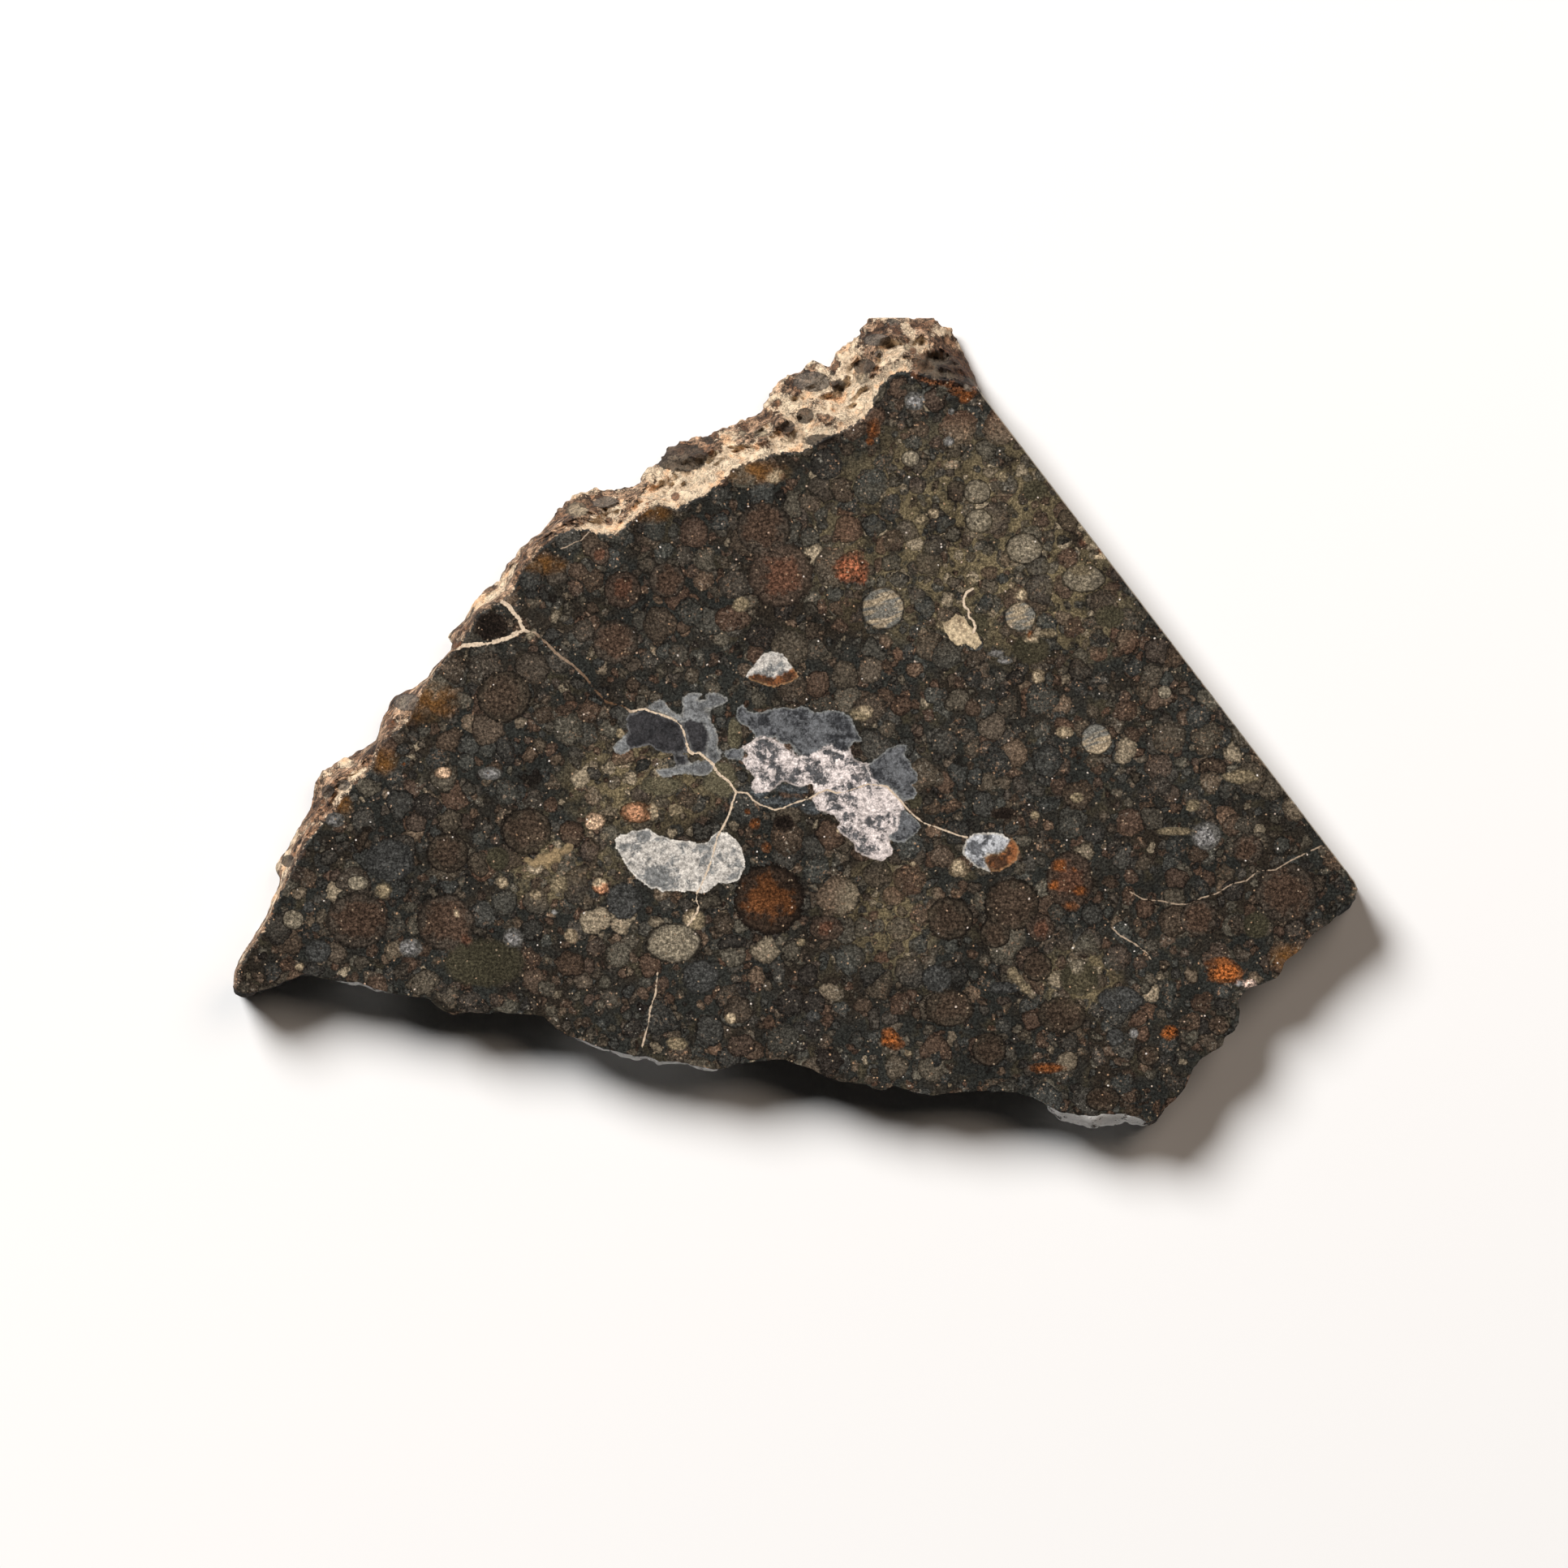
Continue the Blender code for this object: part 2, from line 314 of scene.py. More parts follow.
# %% [markdown]
# ## The wall as a grid
#
# Each station carries a profile from the rim down to the foot. Under the crust the
# profile slopes out to the widest line and tucks in below it. On a break it leans in
# underneath, and a ledge swells out half way down. The saw cut is upright. The whole
# wall is one array of points, rows by stations, and unevenness is added along the
# directions that the grid itself faces.

# %% Wall profiles
WALL_ROWS = 21
FIRST_ROW = 0.012
ROW_SHARES = np.concatenate([[0.0], np.linspace(FIRST_ROW, 1.0, WALL_ROWS - 1)])
REACH_SHARE = 0.76
REACH_HEIGHT = 0.24
EVEN_SLOPE = 0.62
LEDGE_POWER = 0.8


def wall_grid():
    """Points of the wall, rows by stations by three. On the crust: rim plus a share of
    the way to the widest line, then in to the foot, while the height falls partly evenly
    and partly as a quarter circle. Elsewhere: straight down, plus half a sine wave for
    the ledges."""
    down = ROW_SHARES[:, None]
    out = np.clip(down / REACH_SHARE, 0.0, 1.0)
    under = np.clip((down - REACH_SHARE) / (1.0 - REACH_SHARE), 0.0, 1.0)
    shoulder = EVEN_SLOPE * out + (1.0 - EVEN_SLOPE) * (1.0 - np.sqrt(1.0 - out ** 2))
    slope_height = THICKNESS * (1.0 - (1.0 - REACH_HEIGHT) * shoulder - REACH_HEIGHT * under)
    slope = (rim[None] + (wide - rim)[None] * out[..., None]
             + foot_shift[None] * under[..., None] ** 2)
    ledges = (ledge[:, None] * LOWER_INWARD)[None] * np.sin(np.pi * down[..., None] ** LEDGE_POWER)
    steep = (rim[None] + (wide - rim)[None] * (down[..., None] > 0.0)
             + foot_shift[None] * down[..., None] - ledges)
    steep_height = THICKNESS * (1.0 - down)
    sloping = np.isin(kinds, ["crust", "chip"])[None, :]
    flat = np.where(sloping[..., None], slope, steep)
    height = np.where(sloping, slope_height, steep_height)
    return np.concatenate([flat, height[..., None]], axis=2)


def facing_out(grid):
    """Unit directions out of the wall: the cross product of the grid's two directions."""
    along = np.roll(grid, -1, axis=1) - np.roll(grid, 1, axis=1)
    down = np.gradient(grid, axis=0)
    out = np.cross(down, along)
    return out / np.maximum(np.linalg.norm(out, axis=2, keepdims=True), 1e-12)


wall = wall_grid()
print("wall grid", wall.shape)

# %% [markdown]
# ## Relief of the crust and the breaks
#
# Weather has eaten the crust into lumps, hollows and long flakes, and the broken sides
# are rough in a finer way. Sculpting by hand would give this too, but couldn't be
# repeated. We push the wall's points by smooth random numbers: on the crust's slope
# straight up, so that its outline stays as drawn, and elsewhere out of the wall. The
# widest line and the foot hardly move, so the slice keeps its size and rests flat.

# %% Three sizes of lumps
RIDGE_STRETCH = 2.6
HUMP_GRAIN = 0.00070
RIDGE_GRAIN = 0.00050
GRIT_GRAIN = 0.00022


def smoothed(values, reach):
    """Running mean round the closed outline over a few stations on each side."""
    total = sum(np.roll(values, step, axis=0) for step in range(-reach, reach + 1))
    return total / (2 * reach + 1)


width = np.linalg.norm(wide - rim, axis=1)
places = wall.reshape(-1, 3)
row_share = ROW_SHARES[:, None]
along_run = runs(np.concatenate([rim, rim[:1]]))[:-1]
across_run = row_share / REACH_SHARE * width[None]
ridge_places = np.stack([np.broadcast_to(along_run / RIDGE_STRETCH, across_run.shape),
                         across_run, np.zeros(across_run.shape)], axis=2).reshape(-1, 3)
hump = rough(places, HUMP_GRAIN, 11, 4).reshape(wall.shape[:2])
ridge = rough(ridge_places, RIDGE_GRAIN, 31, 3).reshape(wall.shape[:2])
grit = rough(places, GRIT_GRAIN, 21, 2).reshape(wall.shape[:2])
print("highest hump and ridge:", round(float(hump.max()), 2), round(float(ridge.max()), 2))

# %% Height of the relief
CRUST_LUMP = 0.00078
BREAK_LUMP = 0.00013
FULL_WIDTH = 0.0016
LEAST_LUMP = 0.25
HUMP_PART = 0.75
RIDGE_PART = 0.55
GRIT_PART = 0.25
BREAK_GRIT = 0.3
BREAK_SETBACK = 0.4
CALMED = 0.6
HELD_BACK = 0.2
SOFT_STATIONS = 3

is_crust = np.isin(kinds, ["crust", "chip"]).astype(float)
crust_share = smoothed(is_crust, SOFT_STATIONS)
break_share = smoothed(is_broken.astype(float), SOFT_STATIONS)
crust_height = CRUST_LUMP * np.clip(width / FULL_WIDTH, LEAST_LUMP, 1.0) * crust_share
crust_relief = HUMP_PART * hump + RIDGE_PART * ridge + GRIT_PART * grit
# From 0 to 1 over the last third of the way to the widest line
widest = np.clip(row_share / REACH_SHARE * 3.0 - 2.0, 0.0, 1.0)
crust_relief = crust_relief * (1.0 - CALMED * widest) - HELD_BACK * widest
most = CALMED * (1.0 - widest)
crust_relief = np.where(widest > 0, np.minimum(crust_relief, most), crust_relief)
break_relief = hump + BREAK_GRIT * grit - BREAK_SETBACK
# From 0 at the rim to 1 at a fifth of the way down
free = np.minimum(1.0, 5.0 * row_share)
relief = free * (crust_height[None] * crust_relief
                 + BREAK_LUMP * break_share[None] * break_relief)
hollow = -(HUMP_PART * hump + RIDGE_PART * ridge) * free
print("deepest hollow, mm:", round(float(-relief.min() / MILLIMETRE), 3))

# %% Push the wall
# From 0 at the foot to 1 at a sixth of the way up
grounded = np.minimum(1.0, 6.0 * (1.0 - row_share))
upright = (crust_share[None] * (1.0 - widest))[..., None]
push = facing_out(wall) * (1.0 - upright) + np.array([0.0, 0.0, 1.0]) * upright
wall = wall + push * (relief * grounded)[..., None]
wall[-1, :, 2] = 0.0
wall = np.clip(wall, low, high)
print("lowest and highest point, mm:", wall[..., 2].min() * 1000, wall[..., 2].max() * 1000)

# %% [markdown]
# ## The two flat faces
#
# Each face is an even field of points, cut off by its outline. A plain square grid
# can't meet a jagged rim, so Blender's Delaunay triangulation joins the field to the
# rim's own stations. The field is finer beside the pale inclusions and the cracks,
# because the map of the stone is stored on these points. First come those lines.

# %% Lines of the drawn features
# Fluffy pink white material between and below the blue grey lobes
PINK_WHITE_OUTLINES = [
    [(915, 920), (940, 907), (962, 917), (983, 933), (1004, 928), (1026, 916), (1030, 935),
     (1032, 950), (1050, 948), (1070, 947), (1071, 962), (1050, 970), (1030, 975), (1005, 977),
     (1000, 965), (985, 970), (965, 962), (950, 975), (930, 977), (925, 970), (930, 958),
     (920, 947), (916, 938), (923, 930)],
    [(1000, 984), (1007, 981), (1016, 977), (1026, 977), (1035, 981), (1045, 979), (1059, 971),
     (1073, 967), (1087, 969), (1097, 972), (1104, 981), (1111, 989), (1112, 998), (1107, 1008),
     (1109, 1015), (1104, 1024), (1095, 1029), (1094, 1036), (1099, 1045), (1100, 1051),
     (1092, 1058), (1085, 1061), (1076, 1058), (1066, 1055), (1054, 1048), (1052, 1039),
     (1045, 1033), (1035, 1026), (1031, 1020), (1035, 1014), (1028, 1005), (1018, 1001),
     (1007, 998), (1004, 991)],
    [(1018, 924), (1032, 918), (1046, 924), (1052, 936), (1066, 941), (1078, 950), (1082, 964),
     (1070, 978), (1040, 984), (1018, 978), (1012, 960), (1020, 944)],
]
# Blue grey lobes of the large inclusion
MID_BLUE_OUTLINES = [
    [(907, 881), (909, 871), (916, 869), (921, 876), (930, 878), (940, 878), (949, 874),
     (961, 872), (966, 871), (976, 874), (987, 870), (994, 871), (1000, 877), (1011, 878),
     (1021, 875), (1035, 876), (1044, 881), (1050, 886), (1052, 893), (1056, 900), (1062, 914),
     (1052, 914), (1045, 921), (1042, 931), (1035, 933), (1026, 924), (1028, 915), (1016, 919),
     (1004, 927), (994, 933), (983, 927), (973, 915), (963, 915), (956, 907), (944, 907),
     (932, 907), (926, 900), (920, 895), (913, 891), (908, 886)],
    [(1069, 946), (1078, 936), (1087, 929), (1095, 922), (1109, 917), (1118, 919), (1114, 931),
     (1121, 938), (1124, 946), (1130, 953), (1131, 962), (1124, 967), (1130, 977), (1126, 984),
     (1118, 986), (1111, 984), (1106, 977), (1097, 969), (1083, 964), (1071, 962)],
    [(1111, 998), (1121, 1003), (1131, 1012), (1135, 1020), (1126, 1029), (1114, 1038),
     (1106, 1038), (1095, 1031), (1106, 1022), (1107, 1012)],
    [(894, 926), (902, 922), (915, 924), (914, 935), (902, 936), (895, 933)],
]
# Dense dark glassy core of the left inclusion
DARK_BLUE_OUTLINES = [
    [(795, 873), (810, 879), (824, 885), (831, 887), (838, 893), (842, 903), (844, 911),
     (846, 925), (837, 927), (816, 927), (807, 923), (802, 918), (796, 918), (789, 921),
     (775, 921), (772, 916), (771, 910), (775, 904), (774, 900), (772, 893), (772, 885),
     (776, 879), (783, 879), (789, 875)],
    [(844, 887), (847, 883), (861, 890), (865, 892), (869, 897), (873, 903), (873, 911),
     (870, 920), (868, 927), (862, 928), (852, 927), (851, 920), (848, 910), (845, 900)],
    [(831, 930), (844, 931), (847, 938), (844, 942), (835, 942), (831, 937)],
]
# Pale blue grey mantle of the left inclusion
LIGHT_BLUE_OUTLINES = [
    [(800, 871), (806, 865), (813, 862), (819, 864), (821, 869), (827, 876), (838, 882),
     (841, 886), (838, 889), (827, 882), (813, 876), (800, 873)],
    [(841, 860), (847, 855), (858, 853), (865, 855), (859, 862), (866, 863), (870, 861),
     (870, 855), (879, 853), (889, 856), (896, 860), (898, 863), (893, 867), (884, 871),
     (875, 873), (868, 873), (865, 879), (863, 886), (862, 890), (852, 889), (845, 892),
     (843, 886), (842, 878), (841, 869)],
    [(875, 927), (887, 927), (887, 935), (880, 942), (877, 951), (870, 955), (859, 955),
     (844, 953), (830, 955), (824, 958), (817, 958), (812, 955), (809, 949), (817, 947),
     (830, 946), (838, 944), (851, 941), (861, 938), (870, 937)],
    [(771, 907), (774, 920), (774, 925), (764, 930), (758, 927), (755, 921), (761, 914),
     (767, 910)],
    [(866, 876), (873, 878), (876, 889), (881, 897), (885, 909), (884, 920), (883, 927),
     (872, 927), (872, 914), (875, 906), (870, 897), (865, 890), (864, 883)],
]
# Cream grey inclusions with white edges
CREAM_GREY_OUTLINES = [
    [(758, 1034), (765, 1028), (772, 1028), (778, 1024), (787, 1023), (796, 1021), (803, 1024),
     (811, 1030), (819, 1031), (827, 1035), (839, 1036), (849, 1036), (859, 1039), (869, 1039),
     (874, 1036), (877, 1030), (885, 1025), (896, 1027), (906, 1034), (913, 1043), (916, 1053),
     (918, 1068), (915, 1075), (910, 1083), (900, 1088), (885, 1088), (880, 1091), (874, 1097),
     (865, 1101), (856, 1097), (841, 1099), (827, 1097), (815, 1099), (809, 1094), (803, 1095),
     (794, 1089), (786, 1083), (777, 1074), (771, 1065), (765, 1053), (759, 1044)],
    [(920, 833), (939, 807), (950, 803), (964, 806), (973, 819), (980, 834), (971, 837),
     (953, 841), (939, 837)],
]
# Tan flame shaped patch on the left
TAN_OUTLINES = [
    [(642, 1061), (650, 1055), (657, 1059), (664, 1051), (676, 1051), (683, 1043), (692, 1046),
     (699, 1038), (707, 1042), (703, 1051), (692, 1054), (690, 1063), (681, 1063), (676, 1072),
     (668, 1066), (659, 1070), (650, 1064)],
]
# Bright cream patch beside the short crack
CREAM_OUTLINES = [
    [(1161, 768), (1170, 764), (1178, 757), (1188, 760), (1194, 770), (1203, 779), (1210, 793),
     (1201, 800), (1190, 793), (1180, 796), (1170, 787), (1165, 778)],
]
# Oval inclusion on the right
BLUE_WHITE_OUTLINES = [
    [(1186, 1048), (1190, 1036), (1200, 1027), (1218, 1026), (1234, 1027), (1244, 1036),
     (1238, 1046), (1230, 1051), (1218, 1052), (1212, 1056), (1214, 1064), (1218, 1072),
     (1212, 1071), (1204, 1069), (1194, 1060), (1188, 1054)],
]
# Brown stained ends of two inclusions
RUSTY_OUTLINES = [
    [(1246, 1034), (1254, 1041), (1256, 1050), (1252, 1060), (1242, 1068), (1230, 1074),
     (1221, 1072), (1215, 1064), (1214, 1057), (1220, 1054), (1231, 1053), (1240, 1047)],
    [(922, 833), (930, 826), (939, 822), (948, 829), (958, 825), (967, 820), (976, 824),
     (982, 834), (971, 841), (953, 846), (939, 842), (926, 838)],
]
all_outlines = (PINK_WHITE_OUTLINES + MID_BLUE_OUTLINES + DARK_BLUE_OUTLINES
                + LIGHT_BLUE_OUTLINES + CREAM_GREY_OUTLINES + BLUE_WHITE_OUTLINES
                + RUSTY_OUTLINES + CREAM_OUTLINES + TAN_OUTLINES)
print(len(all_outlines), "outlines")

# %% [markdown]
# The cracks are lists of places too. A crack's width changes along it, and so does its
# filling, from cream, which is 1, to brown, which is 0. Both are given against the
# distance from its start, in columns; the side cracks each have one width and one tone.

# %% Lines of the cracks
LONG_CRACK = [
    (559, 798), (579, 795), (602, 793), (623, 787), (645, 776), (660, 780), (673, 792),
    (689, 808), (705, 819), (722, 835), (735, 852), (747, 865), (770, 871), (777, 877),
    (795, 873), (799, 876), (810, 879), (824, 884), (831, 887), (838, 893), (842, 900),
    (845, 911), (847, 920), (849, 925), (852, 928), (862, 928), (869, 934), (879, 942),
    (882, 948), (887, 955), (897, 962), (901, 967), (907, 976), (903, 987), (900, 999),
    (893, 1015), (884, 1031), (880, 1046), (877, 1059), (871, 1075), (865, 1088), (859, 1100),
    (858, 1109), (861, 1116), (859, 1124), (852, 1134), (847, 1141),
]
LONG_CRACK_WIDTH = [
    (0, 6.5), (40, 4.4), (80, 5.2), (105, 3.0), (250, 2.4), (270, 2.2), (345, 2.2), (362, 3.8),
    (385, 2.8), (404, 3.6), (425, 2.3), (600, 1.8),
]
LONG_CRACK_TONE = [
    (0, 1.0), (90, 1.0), (110, 0.22), (150, 0.34), (190, 0.12), (250, 0.04), (268, 1.0),
]
# Each side crack: its places, its width and its tone
SIDE_CRACKS = [
    ([(617, 741), (627, 747), (633, 757), (640, 762), (645, 776)], 5.0, 0.97),
    ([(907, 976), (921, 977), (928, 986), (937, 992), (945, 994), (954, 998), (966, 995),
      (980, 989), (997, 984), (1009, 977), (1019, 973), (1030, 977), (1040, 976), (1052, 972),
      (1062, 969), (1069, 966), (1078, 967), (1093, 969), (1100, 977), (1109, 986), (1119, 998),
      (1130, 1008), (1138, 1014), (1150, 1018), (1180, 1029), (1192, 1032)],
     1.8, 0.9),
    ([(1199, 725), (1191, 730), (1187, 738), (1188, 747), (1194, 752), (1193, 759), (1199, 765),
      (1202, 772), (1199, 780)], 2.6, 1.0),
    ([(810, 1198), (808, 1223), (801, 1244), (799, 1262), (791, 1290)], 2.0, 0.8),
    ([(1391, 1098), (1408, 1108), (1430, 1110), (1449, 1114), (1465, 1114), (1479, 1107),
      (1499, 1101), (1518, 1089), (1536, 1085), (1550, 1073), (1571, 1072), (1591, 1060),
      (1612, 1050), (1630, 1041)], 1.3, 0.50),
    ([(1370, 1143), (1379, 1152), (1397, 1162), (1413, 1174), (1418, 1182)], 1.5, 0.6),
    ([(691, 676), (700, 673), (708, 668), (716, 666), (726, 655)], 1.2, 0.5),
]
drawn_lines = [outline + outline[:1] for outline in all_outlines]
drawn_lines += [LONG_CRACK] + [crack[0] for crack in SIDE_CRACKS]
print(len(drawn_lines), "drawn lines")

# %% [markdown]
# ### Measuring to a line
#
# Everything drawn on the stone is used as a distance: how far a point is from a crack,
# or how deep inside an inclusion. A distance stays sharp however close we look, which
# a picture doesn't.

# %% Distances to lines
def follow(points, line):
    """For each point, its distance to a line, that distance signed by the side it is on,
    how far along the line it lies, and how far past either end it is. On each straight
    step the nearest place is at the share where the step, times the way to the point,
    over the step's squared length, is held between 0 and 1."""
    nearest = np.full(len(points), np.inf)
    side = np.zeros(len(points))
    along = np.zeros(len(points))
    past = np.zeros(len(points))
    run = 0.0
    last = len(line) - 2
    for index, (start, end) in enumerate(zip(line[:-1], line[1:])):
        step = end - start
        length = np.hypot(*step)
        share = ((points - start) @ step) / length ** 2
        held = np.clip(share, 0.0, 1.0)
        gap = points - start - held[:, None] * step
        distance = np.hypot(gap[:, 0], gap[:, 1])
        nearer = distance < nearest
        nearest = np.where(nearer, distance, nearest)
        left = np.sign(step[0] * gap[:, 1] - step[1] * gap[:, 0])
        side = np.where(nearer, np.where(left == 0.0, 1.0, left) * distance, side)
        along = np.where(nearer, run + held * length, along)
        beyond = np.zeros(len(points))
        if index == 0:
            beyond = np.maximum(beyond, -share * length)
        if index == last:
            beyond = np.maximum(beyond, (share - 1.0) * length)
        past = np.where(nearer, beyond, past)
        run += length
    return nearest, side, along, past


def inside(points, outline):
    """Whether each point is inside a closed outline: a ray to the right crosses it an odd
    number of times."""
    odd = np.zeros(len(points), dtype=bool)
    for start, end in zip(outline, np.roll(outline, -1, axis=0)):
        spans = (start[1] > points[:, 1]) != (end[1] > points[:, 1])
        rise = end[1] - start[1] if end[1] != start[1] else 1.0
        crossing = start[0] + (points[:, 1] - start[1]) / rise * (end[0] - start[0])
        odd ^= spans & (points[:, 0] < crossing)
    return odd


def inside_by_rows(x, y, outline):
    """The same for a whole grid: the crossings are worked out once for each row."""
    start, end = outline, np.roll(outline, -1, axis=0)
    odd = np.zeros(x.shape, dtype=bool)
    for row, level in enumerate(y[:, 0]):
        spans = (start[:, 1] > level) != (end[:, 1] > level)
        share = (level - start[spans, 1]) / (end[spans, 1] - start[spans, 1])
        crossings = np.sort(start[spans, 0] + share * (end[spans, 0] - start[spans, 0]))
        odd[row] = np.searchsorted(crossings, x[row]) % 2 == 1
    return odd


print("the long crack is", round(float(runs(on_stone(LONG_CRACK))[-1] / MILLIMETRE), 1), "mm long")

# %% [markdown]
# ### Filling a face
#
# The points of a face lie in rows that are shifted by half a step, which gives nearly
# even triangles. Those too close to the outline are left out, so that no thin slivers
# form there. The underside is plain, so its points lie four times farther apart.

# %% Points and triangles of a face
SQUARE_KEY = (1, 100000)
CLEAR_SHARE = 0.6
SAME_POINT = 1e-9


def field(outline, step):
    """Points of a triangular grid inside an outline: rows a step apart by the height of
    an even triangle, every second row shifted by half a step. Points in a square that
    the outline comes near are left out. Also the column and row of each point."""
    lowest, highest = outline.min(axis=0), outline.max(axis=0)
    rise = step * np.sqrt(0.75)
    across = np.arange(lowest[0], highest[0], step)
    up = np.arange(lowest[1], highest[1], rise)
    x, y = np.meshgrid(across, up)
    x = x + (np.arange(len(up)) % 2)[:, None] * step / 2
    column, row = np.meshgrid(np.arange(len(across)), np.arange(len(up)))
    keep = inside_by_rows(x, y, outline)
    points = np.stack([x[keep], y[keep]], axis=1)
    order = np.stack([column[keep], row[keep]], axis=1)
    shift = CLEAR_SHARE * step * np.array(list(itertools.product((-1, 0, 1), repeat=2)))
    marked = [np.floor((outline + move - lowest) / step).astype(int) for move in shift]
    marked = np.unique(np.concatenate(marked) @ SQUARE_KEY)
    clear = ~np.isin(np.floor((points - lowest) / step).astype(int) @ SQUARE_KEY, marked)
    return points[clear], order[clear]


def face_triangles(outline, points):
    """Join an outline and the points inside it into triangles, by index: the outline's
    points come first, in their own order."""
    everything = [Vector(point) for point in np.concatenate([outline, points])]
    ring = list(range(len(outline)))
    _, _, triangles, origins = delaunay_2d_cdt(everything, [], [ring], 1, SAME_POINT)[:4]
    index = np.array([origin[0] for origin in origins])
    return index[np.array(triangles)]


def box_round(path, margin):
    """Lowest and highest corner of the box round a line, with a margin."""
    return path.min(axis=0) - margin, path.max(axis=0) + margin


print("points are kept", CLEAR_SHARE, "steps clear of the outline")

# %% The polished face and the underside
FACE_STEP = 2.15 * PIXEL
FACE_COARSENESS = 2
UNDER_STEP = 9.0 * PIXEL
DETAIL_REACH = 5.0 * PIXEL

fine, order = field(rim, FACE_STEP)
coarse = np.all(order % FACE_COARSENESS == 0, axis=1)
beside = np.zeros(len(fine), dtype=bool)
for line in drawn_lines:
    path = on_stone(line)
    box_low, box_high = box_round(path, DETAIL_REACH)
    near_box = np.all((fine > box_low) & (fine < box_high), axis=1) & ~beside
    beside[near_box] = follow(fine[near_box], path)[0] < DETAIL_REACH
face_points = fine[coarse | beside]
under_points, _ = field(wall[-1, :, :2], UNDER_STEP)
top_triangles = face_triangles(rim, face_points)
under_triangles = face_triangles(wall[-1, :, :2], under_points)
print(len(top_triangles), "triangles on the face,", len(under_triangles), "underneath")

# %% [markdown]
# ## One closed mesh
#
# The rim is the first row of the wall and the foot is its last, so the faces share
# those points with the wall and the stone is closed. Everything goes into the mesh in
# one call. Edges that fold sharply stay crisp and the lumps are shaded smooth.

# %% Ways to join the grids
def joined_stone():
    """Vertices and triangles of the closed stone: wall points row by row, then the
    points inside the polished face, then those inside the underside."""
    rows, around = wall.shape[:2]
    top = np.c_[face_points, np.full(len(face_points), high[2])]
    under = np.c_[under_points, np.full(len(under_points), low[2])]
    vertices = np.concatenate([wall.reshape(-1, 3), top, under])
    here = np.arange(around)
    after = np.roll(here, -1)
    starts = (np.arange(rows - 1) * around)[:, None]
    a, b = starts + here, starts + after
    c, d = b + around, a + around
    sides = np.concatenate([np.stack([a, d, b], axis=-1).reshape(-1, 3),
                            np.stack([b, d, c], axis=-1).reshape(-1, 3)])
    body = rows * around
    lid = np.where(top_triangles < around, top_triangles, top_triangles - around + body)
    base = np.where(under_triangles < around, under_triangles + body - around,
                    under_triangles - around + body + len(top))
    return vertices, sides, lid, base


def turned(vertices, triangles, upward):
    """Triangles whose corners run so that they face up, or down."""
    a, b, c = (vertices[triangles[:, corner], :2] for corner in range(3))
    area = np.cross(b - a, c - a)
    wrong = (area < 0) if upward else (area > 0)
    return np.where(wrong[:, None], triangles[:, ::-1], triangles)


def volume(vertices, triangles):
    """Volume inside a closed mesh: a sixth of the triple product, summed over triangles."""
    a, b, c = (vertices[triangles[:, corner]] for corner in range(3))
    return float(np.einsum("ij,ij->i", a, np.cross(b, c)).sum() / 6.0)


print("wall, face and underside:", wall.size // 3, len(face_points), len(under_points), "points")

# %% One closed mesh
CREASE_ANGLE = np.radians(60.0)
CUBIC_MILLIMETRES = 1e9

vertices, sides, lid, base = joined_stone()
lid, base = turned(vertices, lid, True), turned(vertices, base, False)
triangles = np.concatenate([sides, lid, base])
flipped = np.concatenate([sides[:, ::-1], lid, base])
triangles = triangles if volume(vertices, triangles) > volume(vertices, flipped) else flipped
mesh = bpy.data.meshes.new("stone")
mesh.from_pydata(vertices.tolist(), [], triangles.tolist())
mesh.validate()
mesh.shade_smooth()
mesh.set_sharp_from_angle(angle=CREASE_ANGLE)
stone = bpy.data.objects.new("stone", mesh)
bpy.context.scene.collection.objects.link(stone)
print(len(mesh.vertices), "vertices,", len(mesh.polygons), "triangles,",
      round(volume(vertices, triangles) * CUBIC_MILLIMETRES, 1), "cubic millimetres")

# %% [markdown]
# The rim of the polished face and the foot are cut edges, so they are marked as crisp
# all round, also where the crust meets them at a wide angle.

# %% Crisp rim and foot
ends = np.zeros(2 * len(mesh.edges), dtype=int)
mesh.edges.foreach_get("vertices", ends)
ends = ends.reshape(-1, 2)
sharp = np.zeros(len(mesh.edges), dtype=bool)
mesh.attributes["sharp_edge"].data.foreach_get("value", sharp)
foot_start = (WALL_ROWS - 1) * len(rim)
foot_end = WALL_ROWS * len(rim)
on_foot = (ends >= foot_start) & (ends < foot_end)
sharp |= np.all(ends < len(rim), axis=1) | np.all(on_foot, axis=1)
mesh.attributes["sharp_edge"].data.foreach_set("value", sharp)
print(int(sharp.sum()), "crisp edges")

# %% [markdown]
# ## What lies where in the stone
#
# The finish has to know where each feature is. We write that on the mesh's own points
# as attributes, which a material can read: distances to the drawn cracks, the patch and
# the named grain a point belongs to, stains, and how far down the crust it lies. They
# are worked out from depth as well as from place, so every feature runs on into the
# wall as it does in real rock. Painting an image would be the other way, but it would
# blur when seen close and would not reach the sides.

# %% Ways to write an attribute
LIGHT_LEVEL = 1.3


def put(name, columns):
    """Store three numbers for each point of the stone under a name."""
    values = np.zeros((len(vertices), 3))
    for index, column in enumerate(columns):
        values[:, index] = column
    attribute = mesh.attributes.new(name, "FLOAT_VECTOR", "POINT")
    attribute.data.foreach_set("vector", values.astype(np.float32).ravel())


def light_of(colour):
    """Colour as it looks in the photograph, 0 to 255, to the share of light the stone
    sends back: the screen curve undone, then divided by the strength of the light."""
    shown = np.array(colour, dtype=float) / 255.0
    linear = np.where(shown <= 0.04045, shown / 12.92, ((shown + 0.055) / 1.055) ** 2.4)
    return linear / LIGHT_LEVEL


